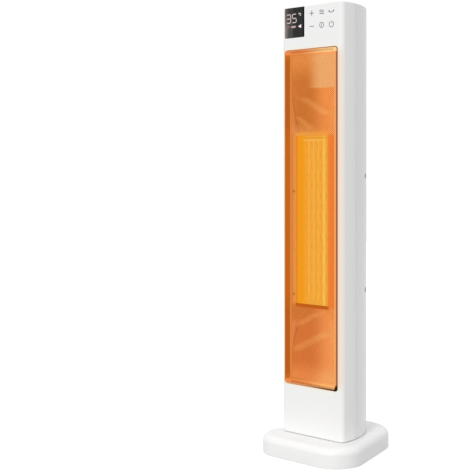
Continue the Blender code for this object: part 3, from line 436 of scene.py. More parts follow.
def makeMouldedGrain():
    # Fine mould grain, with slow drifts of tone and polish
    tree, given, out = newTree("mouldedGrain", "Shader", {
        "Colour": (0.8, 0.8, 0.8), "Tone Drift": 0.03, "Roughness": 0.4, "Polish Drift": 0.08,
        "Grain Scale": 1500.0}, {"Colour": "Color", "Roughness": "Float", "Height": "Float"})
    where, _ = places(tree)
    slow = noise(where, mould["driftScale"], mould["driftDetail"])
    fine = noise(where, given["Grain Scale"])
    scaled = tree.nodes.new("ShaderNodeVectorMath")
    scaled.operation = "SCALE"
    feed(given["Colour"], scaled.inputs[0])
    feed((slow - 0.5) * given["Tone Drift"] + 1.0, scaled.inputs["Scale"])
    tree.links.new(scaled.outputs[0], out["Colour"])
    wander = (slow - 0.5 + (fine - 0.5)) * given["Polish Drift"]
    feed(maths("ADD", wander, given["Roughness"], clamp=True), out["Roughness"])
    feed(fine, out["Height"])
    return tree


def makeBrushedSheet():
    # Rolled sheet metal: fine lines along Z and faint stains
    tree, given, out = newTree("brushedSheet", "Shader", {
        "Colour": (0.7, 0.7, 0.7), "Stain": (0.4, 0.35, 0.3), "Stain Share": 0.25, "Roughness": 0.35},
        {"Colour": "Color", "Roughness": "Float", "Height": "Float"})
    where, _ = places(tree)
    lines = noise(where, rolled["lineScale"], rolled["detail"], rolled["stretch"])
    stains = noise(where, rolled["stainScale"], rolled["detail"])
    share = ramp(stains, *rolled["stainRange"]) * given["Stain Share"]
    feed(blend(share, given["Colour"], given["Stain"]), out["Colour"])
    rough = (lines - 0.5) * rolled["lineRough"] + given["Roughness"]
    feed(maths("ADD", rough, share * rolled["stainRough"], clamp=True), out["Roughness"])
    feed(lines, out["Height"])
    return tree


def insideWindow(x, z):
    # How far a place is inside the window's rounded outline
    corner = window["corner"]
    side = abs(x - window["centre"]) - (window["half"] - corner)
    end = abs(z - (windowLow + windowHigh) / 2) - ((windowHigh - windowLow) / 2 - corner)
    a = larger(side, 0.0)
    b = larger(end, 0.0)
    outer = maths("SQRT", a * a + b * b)
    return corner - (outer + smaller(larger(side, end), 0.0))


# The element's light on the plates behind the window, in linear colours.
# "Across" is from where to where it turns along x, and "Up" along z.
plateLight = {
    "across": (-0.010, 0.024), "left": (0.64, 0.184, 0.034), "right": (0.97, 0.318, 0.080),
    "patchScale": 24.0, "patchRange": (0.35, 0.7), "patch": (0.76, 0.236, 0.056, 0.3),
    "strip": (0.70, 0.215, 0.050, 0.5), "headUp": (0.580, 0.618), "head": (0.86, 0.300, 0.072, 0.9),
    "paleUp": (0.5712, 0.5724), "paleAcross": (-0.018, 0.016), "pale": (0.94, 0.450, 0.172),
    "lowerUp": (0.236, 0.196), "lowerAcross": (-0.008, 0.040), "lowerShare": 0.9,
    "lowerLeft": (0.735, 0.188, 0.046), "lowerRight": (1.0, 0.362, 0.110),
    "footUp": (0.150, 0.118), "footShare": 0.8,
    "footLeft": (0.93, 0.295, 0.082), "footRight": (1.0, 0.44, 0.150),
    "nearUp": (-0.002, 0.016), "nearSoft": 0.010, "nearAcross": (0.012, -0.012),
    "near": (0.93, 0.36, 0.11, 0.5)}

# Painted shade along the left folds and painted highlight along the right folds of the two plates, painted
# light beyond the left folds, and painted reflections as streaks, each from one place to another
foldLight = {
    "leftFolds": (((-0.0347, 0.5020), (-0.0436, 0.5580)), ((-0.0347, 0.2070), (-0.0436, 0.1596))),
    "rightFolds": (((0.0330, 0.4990), (0.0393, 0.5560)), ((0.0342, 0.2120), (0.0424, 0.1620))),
    "nearStreaks": (((-0.0340, 0.5280), (-0.0040, 0.5060)), ((-0.0340, 0.2005), (0.0060, 0.2225))),
    "farStreaks": (((-0.0220, 0.5570), (0.0240, 0.5300)), ((-0.0430, 0.1596), (0.0250, 0.1935))),
    "foldWidth": 0.0014, "nearWidth": 0.0066, "farWidth": 0.0080, "crisp": 0.2, "ends": 0.003,
    "outerAway": (-0.0004, -0.0012), "outerEnds": 0.004, "outer": (0.86, 0.31, 0.095, 0.5),
    "leftTone": (0.44, 0.108, 0.018, 0.8), "rightTone": (1.0, 0.45, 0.125, 0.7),
    "streakLeft": (0.84, 0.315, 0.085), "streakRight": (1.0, 0.43, 0.130), "streakShare": 0.6}

# Its light close round the element, with painted shade just under it, at distances from its edges; "wideTo"
# is a place along x
nearLight = {
    "tall": (-0.002, 0.001), "tallSoft": 0.003, "wideTo": 0.029, "wideSoft": 0.002,
    "aboveUp": (0.0, 0.0055), "aboveSoft": 0.0045, "above": (1.0, 0.420, 0.056),
    "strip": (0.80, 0.265, 0.052), "stripAcross": (-0.0006, 0.0006),
    "brim": (0.91, 0.335, 0.078), "brimAcross": (-0.0062, -0.0040),
    "beside": (0.94, 0.232, 0.036), "besideAcross": (-0.0006, 0.0008),
    "underUp": (-0.0058, 0.002), "underSoft": 0.0014, "under": (0.56, 0.108, 0.0075)}

# The painted light of the element itself: frame, core, the bright lines at the core's edges, and a painted
# darker line just above the core
elementLight = {
    "leftAcross": (0.001, 0.0050), "left": (0.80, 0.255, 0.018), "frame": (0.98, 0.358, 0.013),
    "rightAcross": (-0.001, 0.001), "right": (0.97, 0.370, 0.046), "rightEdge": 0.0006,
    "coreAcross": (0.0, 0.012), "coreLeft": (0.96, 0.390, 0.020), "coreRight": (0.95, 0.428, 0.050),
    "sideLine": (-0.0062, -0.0024), "sideSoft": 0.0010, "side": (1.0, 0.60, 0.105),
    "topLine": (0.0, 0.0020), "topSoft": 0.0003, "top": (1.0, 0.53, 0.100),
    "upperLine": (0.0038, 0.0052), "upperSoft": 0.0004, "upperPast": 0.002, "upper": (0.86, 0.33, 0.020)}


def heights(line):
    return sorted(z for x, z in line)


def awayFrom(x, z, line):
    # Distance from the line through two places, plus on its right
    start, end = sorted(line, key=lambda place: place[1])
    run = (Vector(end) - Vector(start)).normalized()
    return (x - start[0]) * run.y - (z - start[1]) * run.x


def foldLines(x, z, lines, width):
    # Mask of two slanting lines, each between the heights of its ends
    masks = [ramp(abs(awayFrom(x, z, line)), foldLight["crisp"] * width, width, 1, 0)
             * span(z, *heights(line), foldLight["ends"]) for line in lines]
    return larger(*masks)


def leftOfElement(x):
    return ramp(x, *about(elementLeft, nearLight["stripAcross"]), 1, 0)


def litPlates(x, z, where):
    # The plates' tones from left to right and towards the window's ends
    light = plateLight
    right = ramp(x, *light["across"])
    lower = blend(ramp(x, *light["lowerAcross"]), light["lowerLeft"], light["lowerRight"])
    foot = blend(right, light["footLeft"], light["footRight"])
    near = span(z, *about(elementHigh.z, light["nearUp"]), light["nearSoft"]) * ramp(x, *light["nearAcross"])
    return layered(blend(right, light["left"], light["right"]),
                   (ramp(noise(where, light["patchScale"]), *light["patchRange"]), light["patch"]),
                   (leftOfElement(x), light["strip"]), (ramp(z, *light["headUp"]), light["head"]),
                   (ramp(z, *light["paleUp"]) * ramp(x, *light["paleAcross"]), light["pale"]),
                   (ramp(z, *light["lowerUp"]) * light["lowerShare"], lower),
                   (ramp(z, *light["footUp"]) * light["footShare"], foot), (near, light["near"]))


def litFolds(x, z, plates):
    light = foldLight
    outer = larger(*[ramp(awayFrom(x, z, fold), *light["outerAway"])
                     * span(z, *heights(fold), light["outerEnds"]) for fold in light["leftFolds"]])
    streaks = larger(foldLines(x, z, light["nearStreaks"], light["nearWidth"]),
                     foldLines(x, z, light["farStreaks"], light["farWidth"]))
    streakTone = blend(ramp(x, *plateLight["across"]), light["streakLeft"], light["streakRight"])
    return layered(plates, (streaks * light["streakShare"], streakTone), (outer, light["outer"]),
                   (foldLines(x, z, light["leftFolds"], light["foldWidth"]), light["leftTone"]),
                   (foldLines(x, z, light["rightFolds"], light["foldWidth"]), light["rightTone"]))


def litSurround(x, z, plates):
    light = nearLight
    tall = span(z, elementLow.z + light["tall"][0], elementHigh.z + light["tall"][1], light["tallSoft"])
    wide = span(x, elementLow.x, light["wideTo"], light["wideSoft"])
    above = span(z, *about(elementHigh.z, light["aboveUp"]), light["aboveSoft"]) * wide
    # Painted shade just under the element
    under = span(z, *about(elementLow.z, light["underUp"]), light["underSoft"]) * wide
    strip = leftOfElement(x) * tall
    brim = strip * ramp(x, *about(elementLeft, light["brimAcross"]))
    beside = ramp(x, *about(elementHigh.x, light["besideAcross"])) * tall
    return layered(plates, (above, light["above"]), (strip, light["strip"]), (brim, light["brim"]),
                   (beside, light["beside"]), (under, light["under"]))


def litElement(x, z):
    light = elementLight
    core = span(x, coreLeft, coreRight)
    coreTone = blend(ramp(x, *about(coreLeft, light["coreAcross"])), light["coreLeft"], light["coreRight"])
    sideLine = span(x, *about(coreRight, light["sideLine"]), light["sideSoft"])
    topLine = core * span(z, *about(coreTop, light["topLine"]), light["topSoft"])
    upperLine = (span(x, coreLeft, coreRight + light["upperPast"])
                 * span(z, *about(coreTop, light["upperLine"]), light["upperSoft"]))
    return layered(blend(ramp(x, *about(elementLeft, light["leftAcross"])), light["left"], light["frame"]),
                   (ramp(x, *about(coreRight, light["rightAcross"])), light["right"]), (core, coreTone),
                   (sideLine, light["side"]), (topLine, light["top"]), (upperLine, light["upper"]))


def makeWindowGlow():
    # Colours of the element's light by place, and where the element itself is
    tree, _, out = newTree("windowGlow", "Shader", {},
                           {"Plates": "Color", "Element": "Color", "Share": "Float"})
    where, (x, y, z) = places(tree)
    feed(litSurround(x, z, litFolds(x, z, litPlates(x, z, where))), out["Plates"])
    feed(litElement(x, z), out["Element"])
    right = elementHigh.x - elementLight["rightEdge"]
    feed(span(x, elementLeft, right) * span(z, elementLow.z, elementHigh.z), out["Share"])
    return tree


halo = {"depth": (0.003, 0.006), "near": (-0.0065, -0.0004), "nearTint": (1.05, 1.00, 0.88),
        "side": (-0.0145, -0.0010), "sideAcross": (-0.002, 0.001), "ends": 0.006, "endsSoft": 0.012,
        "sideTint": (1.02, 0.82, 0.66), "leftAcross": (0.0010, 0.0007), "leftTint": (1.04, 0.76, 0.52)}


def makeHalo():
    # Warm light that bleeds into the pale plastic round the window
    tree, given, out = newTree("windowHalo", "Shader", {"Colour": (0.8, 0.8, 0.8)}, {"Colour": "Color"})
    where, (x, y, z) = places(tree)
    inside = insideWindow(x, z)
    front = ramp(y, *about(frontY, halo["depth"]), 1, 0)
    near = ramp(inside, *halo["near"]) * front
    level = span(z, windowLow + halo["ends"], windowHigh - halo["ends"], halo["endsSoft"])
    atRight = ramp(x, *about(window["centre"] + window["half"], halo["sideAcross"]))
    atLeft = ramp(x, *about(window["centre"] - window["half"], halo["leftAcross"]))
    side = ramp(inside, *halo["side"]) * front * level * atRight
    tint = layered((1.0, 1.0, 1.0), (near, halo["nearTint"]), (side, halo["sideTint"]),
                   (near * atLeft, halo["leftTint"]))
    feed(blend(1.0, given["Colour"], tint, "MULTIPLY"), out["Colour"])
    return tree


grainGroup = makeMouldedGrain()
sheetGroup = makeBrushedSheet()
glowGroup = makeWindowGlow()
haloGroup = makeHalo()


# Finishes
def plastic(name, colour, rough, drift=0.03, polish=0.06, grain=1500.0, bump=0.05):
    look, tree, shader = newLook(name)
    made = useGroup(tree, grainGroup, {"Colour": colour, "Tone Drift": drift, "Roughness": rough,
                                       "Polish Drift": polish, "Grain Scale": grain})
    setInputs(shader, {"Base Color": made["Colour"], "Roughness": made["Roughness"]})
    addBump(shader, made["Height"], bump, mould["depth"])
    return look


def casePlastic(name, colour, rough):
    # Plastic with the window's warm light round the opening
    look = plastic(name, colour, rough, drift=0.012)
    tree, shader, source = baseOf(look)
    feed(useGroup(tree, haloGroup, {"Colour": source})["Colour"], shader.inputs["Base Color"])
    return look


def metal(name, colour, stain, rough, metallic=1.0, share=0.25):
    look, tree, shader = newLook(name)
    made = useGroup(tree, sheetGroup, {"Colour": colour, "Stain": stain, "Stain Share": share,
                                       "Roughness": rough})
    setInputs(shader, {"Base Color": made["Colour"], "Roughness": made["Roughness"], "Metallic": metallic})
    addBump(shader, made["Height"], rolled["bump"], rolled["depth"])
    return look


def baseOf(look):
    # A finish's tree, its shader and what feeds its base colour
    tree = look.node_tree
    shader = tree.nodes["Principled BSDF"]
    return tree, shader, Field(tree, shader.inputs["Base Color"].links[0].from_socket)


sheetLight = {"dim": (0.865, 0.865, 0.865), "fade": (0.024, 0.034), "shine": 0.05, "stain": 0.2}


def glowing(name, colour, stain, rough, lit, strength, depth=None):
    # Sheet metal that glows with painted light, as the element, as the plates or as both by place, with
    # painted shade that grows with depth
    look = metal(name, colour, stain, rough, metallic=0.0, share=sheetLight["stain"])
    tree, shader, _ = baseOf(look)
    made = useGroup(tree, glowGroup, {})
    if lit == "both":
        dimmed = blend(1.0, made["Plates"], sheetLight["dim"], "MULTIPLY")
        glow = blend(made["Share"], dimmed, made["Element"])
    else:
        glow = made[lit]
    where, (x, y, z) = places(tree)
    front = facingFront(tree) * ramp(y, *about(frontY, sheetLight["fade"]), 1, 0)
    if depth:
        start, end, share = depth
        front = front * ramp(y, frontY + start, frontY + end, 1.0, share)
    setInputs(shader, {"Emission Color": glow, "Emission Strength": front * strength,
                       "Specular IOR Level": sheetLight["shine"]})
    return look


# The element's painted light on the tray's walls, with painted shade along its rim, on its right wall and in
# its lower right corner, at distances from the window's lower and upper ends
trayLight = {
    "across": (-0.03, 0.035), "wall": (0.385, 0.083, 0.003),
    "middleUp": (0.235, 0.505), "middleSoft": 0.02, "middle": (0.455, 0.098, 0.001),
    "ends": (0.020, 0.008), "end": (0.52, 0.124, 0.008, 0.8), "facing": (0.0085, 0.0065),
    "bottomLeft": (0.74, 0.22, 0.060), "bottomRight": (0.96, 0.46, 0.150),
    "topLeft": (0.78, 0.23, 0.060), "topRight": (0.95, 0.60, 0.260),
    "borderInside": (0.0068, 0.0074),
    "borderLeft": (0.62, 0.205, 0.045), "borderRight": (0.84, 0.350, 0.115),
    "rightAcross": (0.0430, 0.0440), "rightWall": (0.20, 0.085, 0.035), "rightBorder": (0.86, 0.38, 0.13),
    "rightTop": (0.0095, 0.0075), "rightEdge": (0.0487, 0.0497),
    "rimInside": (0.0011, 0.0016), "rimUp": (0.0045, 0.0030), "rim": (0.28, 0.085, 0.02, 0.6),
    "highAcross": (0.0, 0.05), "highLeft": (0.46, 0.17, 0.065), "highRight": (0.12, 0.06, 0.03),
    "lowInside": (0.0020, 0.0030), "lowAcross": (-0.03, 0.045),
    "lowLeft": (0.58, 0.26, 0.105), "lowRight": (0.014, 0.006, 0.002),
    "cornerAcross": (0.0432, 0.0462), "cornerUp": (0.0098, 0.0074),
    "corner": (0.012, 0.004, 0.001), "cornerBase": (0.012, 0.005, 0.003)}


def makeTrayLook():
    # The tray's walls take the element's painted light from the side that faces it, on a dark orange base
    # colour, with painted shade on the right, along the rim and in the lower right corner, where the base
    # colour is darkened too
    look = metal("trayLook", (0.10, 0.026, 0.006), (0.08, 0.020, 0.004), 0.55, metallic=0.0,
                 share=sheetLight["stain"])
    tree, shader, source = baseOf(look)
    where, (x, y, z) = places(tree)
    light = trayLight
    inside = insideWindow(x, z)
    aboveLow = z - windowLow
    belowHigh = windowHigh - z
    across = ramp(x, *light["across"])
    rightSide = ramp(x, *light["rightAcross"])
    border = ramp(inside, *light["borderInside"])
    # Painted shade along the rim, darkest towards the right in lowRim and highRim below
    rim = ramp(inside, *light["rimInside"], 1, 0)
    ends = larger(ramp(aboveLow, *light["ends"]), ramp(belowHigh, *light["ends"]))
    shaded = rightSide * larger(ramp(belowHigh, *light["rightTop"], 1, 0), ramp(x, *light["rightEdge"]))
    # Painted shade, near black, in the lower right corner, in the glow and in the base colour
    corner = ramp(x, *light["cornerAcross"]) * ramp(aboveLow, *light["cornerUp"])
    lowRim = ramp(inside, *light["lowInside"], 1, 0) * ramp(aboveLow, *light["rimUp"])
    highRim = rim * ramp(belowHigh, *light["rimUp"])
    bottomTone, topTone, borderTone = [blend(across, light[place + "Left"], light[place + "Right"])
                                       for place in ("bottom", "top", "border")]
    lowTone = blend(ramp(x, *light["lowAcross"]), light["lowLeft"], light["lowRight"])
    highTone = blend(ramp(x, *light["highAcross"]), light["highLeft"], light["highRight"])
    tone = layered(light["wall"], (span(z, *light["middleUp"], light["middleSoft"]), light["middle"]),
                   (ends, light["end"]), (ramp(aboveLow, *light["facing"]), bottomTone),
                   (ramp(belowHigh, *light["facing"]), topTone), (border, borderTone),
                   (shaded, light["rightWall"]), (rim, light["rim"]), (lowRim, lowTone), (highRim, highTone),
                   (rightSide * border, light["rightBorder"]), (corner, light["corner"]))
    setInputs(shader, {"Emission Color": tone, "Emission Strength": facingFront(tree),
                       "Base Color": blend(corner, source, light["cornerBase"]),
                       "Specular IOR Level": sheetLight["shine"]})
    return look


# Linear colours, as the photograph shows them in plain light
whiteCase = casePlastic("whiteCase", (0.84, 0.84, 0.835), 0.33)
rearCase = plastic("rearCase", (0.845, 0.845, 0.84), 0.36, drift=0.015)
whiteBase = plastic("whiteBase", (0.85, 0.85, 0.845), 0.34, drift=0.015)
blackRubber = plastic("blackRubber", (0.025, 0.025, 0.026), 0.8, polish=0.1, grain=900.0, bump=0.25)
blackPlastic = plastic("blackPlastic", (0.03, 0.03, 0.032), 0.42, grain=1100.0, bump=0.15)
acetal = plastic("acetal", (0.78, 0.77, 0.72), 0.36, grain=700.0)
steel = metal("steel", (0.56, 0.56, 0.57), (0.30, 0.29, 0.28), 0.34)
ductSheet = metal("ductSheet", (0.62, 0.63, 0.64), (0.42, 0.36, 0.30), 0.40, share=0.4)
trayLook = makeTrayLook()
# These finishes glow with the element's painted light, and their dark orange base colours are a dim share of
# that painted glow
meshLook = glowing("meshLook", (0.08, 0.024, 0.002), (0.06, 0.018, 0.002), 0.6, "both", 0.72)
plateLook = glowing("plateLook", (0.10, 0.030, 0.004), (0.08, 0.022, 0.003), 0.6, "Plates", 1.19)
frameLook = glowing("frameLook", (0.06, 0.024, 0.001), (0.05, 0.018, 0.001), 0.6, "Element", 1.06)
screwLook = glowing("screwLook", (0.16, 0.036, 0.009), (0.10, 0.022, 0.006), 0.4, "Plates", 0.20)
finLook = glowing("finLook", (0.08, 0.034, 0.003), (0.06, 0.024, 0.002), 0.6, "Element", 1.16,
                  depth=(0.008, 0.0125, 0.40))
tubeLook = glowing("tubeLook", (0.10, 0.045, 0.008), (0.08, 0.035, 0.006), 0.5, "Element", 1.30,
                   depth=(0.008, 0.0125, 0.50))


# Geometry node trees for what repeats
def join3(x, y, z):
    tree = treeOf(x, y, z)
    node = tree.nodes.new("ShaderNodeCombineXYZ")
    for value, socket in zip((x, y, z), node.inputs):
        feed(value, socket)
    return Field(tree, node.outputs[0])


def pointsAt(count, place):
    node = count.tree.nodes.new("GeometryNodePoints")
    setInputs(node, {"Count": count, "Position": place})
    return Field(count.tree, node.outputs[0])


def placeInstances(given, out, points, unit, values):
    # Instances on the points, made real, with the finish set
    tree = points.tree
    copied = tree.nodes.new("GeometryNodeInstanceOnPoints")
    setInputs(copied, {"Points": points, "Instance": unit, **values})
    real = tree.nodes.new("GeometryNodeRealizeInstances")
    finish = tree.nodes.new("GeometryNodeSetMaterial")
    feed(given["Finish"], finish.inputs["Material"])
    tree.links.new(copied.outputs[0], real.inputs[0])
    tree.links.new(real.outputs[0], finish.inputs["Geometry"])
    tree.links.new(finish.outputs[0], out["Geometry"])


def makeRowsTree():
    # Copies of the piece in rows and columns
    tree, given, out = newTree("rowsAndColumns", "Geometry", {
        "Geometry": "Geometry", "Columns": 1, "Rows": 1, "Column Pitch": 0.01, "Row Pitch": 0.01,
        "Finish": "Material"}, {"Geometry": "Geometry"})
    index = Field(tree, tree.nodes.new("GeometryNodeInputIndex").outputs[0])
    x = index % given["Columns"] * given["Column Pitch"]
    z = maths("FLOOR", index / given["Columns"]) * given["Row Pitch"]
    points = pointsAt(given["Columns"] * given["Rows"], join3(x, 0.0, z))
    placeInstances(given, out, points, given["Geometry"], {})
    return tree


def makeStrandTree():
    # Slanting strands that fill a rectangle, each cut to length at its edges
    tree, given, out = newTree("slantingStrands", "Geometry", {
        "Geometry": "Geometry", "Width": 0.1, "Height": 0.5, "Pitch": 0.004, "Slope": 1.0, "Lean": 1.0,
        "Centre": 0.0, "Bottom": 0.0, "Finish": "Material"}, {"Geometry": "Geometry"})
    width, height, slope = given["Width"], given["Height"], given["Slope"]
    index = Field(tree, tree.nodes.new("GeometryNodeInputIndex").outputs[0])
    rise = height * slope
    count = maths("FLOOR", (width + rise) / given["Pitch"])
    start = (index + 0.5) * given["Pitch"] - rise
    first = larger(start * -1.0 / slope, 0.0)
    last = smaller(height, (width - start) / slope)
    x = given["Centre"] + (start + first * slope - width * 0.5) * given["Lean"]
    length = (last - first) * maths("SQRT", slope * slope + 1.0)
    angle = maths("ARCTANGENT", slope) * given["Lean"]
    points = pointsAt(count, join3(x, 0.0, given["Bottom"] + first))
    placeInstances(given, out, points, given["Geometry"],
                   {"Scale": join3(1.0, 1.0, length), "Rotation": join3(0.0, angle, 0.0)})
    return tree


def makeCopiesTree():
    # Copies of a unit on each point of the piece
    tree, given, out = newTree("copiesOnPoints", "Geometry", {
        "Geometry": "Geometry", "Unit": "Object", "Turn": (0, 0, 0), "Finish": "Material"},
        {"Geometry": "Geometry"})
    unit = tree.nodes.new("GeometryNodeObjectInfo")
    feed(given["Unit"], unit.inputs["Object"])
    placeInstances(given, out, given["Geometry"], Field(tree, unit.outputs["Geometry"]),
                   {"Rotation": given["Turn"]})
    return tree


rowsTree = makeRowsTree()
strandTree = makeStrandTree()
copiesTree = makeCopiesTree()


def useTree(piece, tree, values):
    change = piece.modifiers.new(tree.name, "NODES")
    change.node_group = tree
    for item in tree.interface.items_tree:
        if item.item_type == "SOCKET" and item.in_out == "INPUT" and item.name in values:
            change[item.identifier] = values[item.name]
    return bake(piece)


def copies(name, unit, spots, look, turn=(0, 0, 0)):
    made = addMesh(name, spots, [])
    useTree(made, copiesTree, {"Unit": unit, "Turn": turn, "Finish": look})
    bpy.data.objects.remove(unit, do_unlink=True)
    return made


print("node trees made")


# Casing: plan, shells and lid
def towerPlan(inset=0.0):
    half = casing["width"] / 2 - inset
    reach = casing["depth"] - casing["taperStart"] + casing["pastRear"] - inset
    corner = max(casing["corner"] - inset, casing["leastCorner"])
    power = casing["power"]
    right = []
    for i in range(casing["cornerSteps"] + 1):
        turn = math.pi / 2 * (i / casing["cornerSteps"] - 1)
        right.append((half - corner + corner * math.cos(turn),
                      frontY + inset + corner + corner * math.sin(turn)))
    for i in range(casing["sideSteps"]):
        share = casing["blend"] * i / (casing["sideSteps"] - 1)
        across = half * (1 - share ** power) ** (1 / power)
        right.append((across, frontY + casing["taperStart"] + share * reach))
    x, y = right[-1]
    rest = 1 - casing["blend"] ** power
    slope = -half / reach * casing["blend"] ** (power - 1) * rest ** (1 / power - 1)
    back = rearY - inset
    knee = x + slope * (back - y)
    for i in range(1, casing["rearSteps"] + 1):
        t = i / casing["rearSteps"]
        px = (1 - t) * (1 - t) * x + 2 * t * (1 - t) * knee + t * t * knee * casing["flat"]
        py = (1 - t) * (1 - t) * y + (1 - (1 - t) * (1 - t)) * back
        right.append((px, py))
    return right + [(-px, py) for px, py in reversed(right)]


def ringsAt(outline, pairs):
    return [[(x, y, z) for x, y in outline(inset)] for inset, z in pairs]


def caseBlank(name):
    low = casing["bottomRound"]
    top = casing["topRound"]
    count = casing["roundSteps"]
    turns = [i / count * math.pi / 2 for i in range(count + 1)]
    skirt = floorZ - casing["skirt"]
    pairs = [(low * (1 - math.sin(t)), skirt + low * (1 - math.cos(t))) for t in turns]
    pairs += [(top * (1 - math.cos(t)), topZ - top * (1 - math.sin(t))) for t in turns]
    blank = skin(name, ringsAt(towerPlan, pairs))
    wall = casing["wall"]
    return cutBy(blank, skin("hollow", ringsAt(towerPlan, [(wall, floorZ - past), (wall, topZ + past)])))


def roundedBox(low, high, corner, steps=8):
    points = []
    middles = ((high[0] - corner, high[1] - corner), (low[0] + corner, high[1] - corner),
               (low[0] + corner, low[1] + corner), (high[0] - corner, low[1] + corner))
    for quarter, (x, y) in enumerate(middles):
        for i in range(steps + 1):
            turn = math.pi / 2 * (quarter + i / steps)
            points.append((x + corner * math.cos(turn), y + corner * math.sin(turn)))
    return points


def windowOutline(inset):
    half = window["half"] - inset
    low = (window["centre"] - half, windowLow + inset)
    high = (window["centre"] + half, windowHigh - inset)
    return roundedBox(low, high, max(window["corner"] - inset, casing["leastCorner"]))


def lensOutline(inset, openTop=0.0):
    return roundedBox((lensLeft + inset, lensTop - lens["height"] + inset),
                      (lensLeft + lens["width"] - inset, lensTop - inset + openTop), lens["corner"])


intake = {"columns": 4, "rows": 74, "slot": 0.0155, "rib": 0.003, "pitch": 0.006, "slotHeight": 0.0034,
          "slotFrom": 0.005, "edge": 0.0003, "notchFrom": 0.0385, "notchTo": 0.0452, "notchHeight": 0.0070,
          "notchDepth": (0.008, 0.044), "notchSteps": 6, "notches": (0.4351, 0.2563), "insertSink": 0.0005,
          "insertThick": 0.0014}


def notchBlocks():
    near, far = intake["notchDepth"]
    half = intake["notchHeight"] / 2
    blocks = []
    for z in intake["notches"]:
        for side in (-1, 1):
            left, right = sorted((side * intake["notchFrom"], side * intake["notchTo"]))
            blocks.append(brick("notch", (left, near, z - half), (right, far, z + half)))
    return blocks


def buildFrontShell():
    shell = caseBlank("frontShell")
    seam = frontY + casing["seam"] - casing["seamGap"] / 2
    opening = about(frontY, casing["opening"])
    cutBy(shell, brick("behind", (-farSide, seam, 0), (farSide, rearY + past, topZ + past)),
          slab("opening", windowOutline(0), "y", *opening),
          slab("lensOpening", lensOutline(0, past), "y", *opening))
    soften(shell, casing["edge"])
    fit(shell, "tower", whiteCase, "white_plastic", "front_shell")


def buildRearShell():
    shell = caseBlank("rearShell")
    seam = frontY + casing["seam"] + casing["seamGap"] / 2
    gap = casing["gap"]
    rim = casing["switchFlange"] - gap
    low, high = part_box("rear_grille")
    switchLow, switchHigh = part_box("switch_housing")
    cutBy(shell, brick("before", (-farSide, frontY - past, 0), (farSide, seam, topZ + past)),
          brick("grilleOpening", (low.x - gap, 0, low.z - gap), (high.x + gap, rearY + past, high.z + gap)),
          brick("switchOpening", (switchLow.x + rim, 0, switchLow.z + rim),
                (switchHigh.x - rim, rearY + past, switchHigh.z - rim)), *notchBlocks())
    soften(shell, casing["edge"])
    fit(shell, "tower", rearCase, "shell_grey", "rear_shell")


# The path runs in from the lid's edge and down from its top
lid = {"gap": 0.0003, "shading": 50,
       "path": ((0, 0.0006), (0.0002, 0.00015), (0.0006, 0), (0.0075, 0), (0.0081, 0.0005), (0.0092, 0.0005))}


def buildLid():
    inset = casing["wall"] + lid["gap"]
    low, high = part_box("top_cap")
    pairs = [(inset, low.z)] + [(inset + along, high.z - down) for along, down in lid["path"]]
    piece = smooth(skin("topLid", ringsAt(towerPlan, pairs)), lid["shading"])
    fit(piece, "tower", whiteCase, "white_plastic", "top_cap")


buildFrontShell()
buildRearShell()
buildLid()
print("casing made")


# Base cover
base = {"frontHalf": 0.10458, "rearHalf": 0.0437, "depth": 0.2025, "height": 0.0312, "frontCorner": 0.0458,
        "rearCorner": 0.0590, "wallHeight": 0.0199, "lift": 0.0008, "wall": 0.0024, "dome": 0.0125,
        "hub": 0.0208, "steps": 18, "bottomEdge": (0.0006, 0.0008), "hubEdge": 0.0006,
        "topShares": (0.25, 0.6, 1.0), "shading": 45,
        "shares": ((0, 0), (0.012, 0.12), (0.045, 0.26), (0.095, 0.40), (0.16, 0.52), (0.25, 0.65),
                   (0.35, 0.75), (0.48, 0.845), (0.63, 0.92), (0.80, 0.97), (1, 1))}


def fillet(corner, before, after, radius, steps):
    ux, uy = (Vector(before) - Vector(corner)).normalized()
    vx, vy = (Vector(after) - Vector(corner)).normalized()
    half = math.acos(ux * vx + uy * vy) / 2
    run = radius / math.tan(half)
    size = math.hypot(ux + vx, uy + vy)
    far = radius / math.sin(half)
    cx = corner[0] + (ux + vx) / size * far
    cy = corner[1] + (uy + vy) / size * far
    start = math.atan2(corner[1] + uy * run - cy, corner[0] + ux * run - cx)
    sweep = math.pi - 2 * half
    turns = [start + sweep * i / steps for i in range(steps + 1)]
    return [(cx + radius * math.cos(t), cy + radius * math.sin(t)) for t in turns]


def basePlan(inset=0.0):
    slope = (base["frontHalf"] - base["rearHalf"]) / base["depth"]
    shift = inset * math.hypot(1, slope)
    low = -base["depth"] / 2 + inset
    wide = base["frontHalf"] - slope * inset - shift
    narrow = base["rearHalf"] + slope * inset - shift
    lean = math.atan(slope)
    mostFront = base["frontHalf"] * math.tan(math.pi / 4 - lean / 2)
    mostRear = base["rearHalf"] * math.tan(math.pi / 4 + lean / 2)
    radii = [min(base["frontCorner"], mostFront) - inset, min(base["rearCorner"], mostRear) - inset]
    corners = ((wide, low), (narrow, -low), (-narrow, -low), (-wide, low))
    outline = []
    for i, radius in enumerate((radii[0], radii[1], radii[1], radii[0])):
        outline += fillet(corners[i], corners[i - 1], corners[(i + 1) % 4], radius, base["steps"])
    return outline


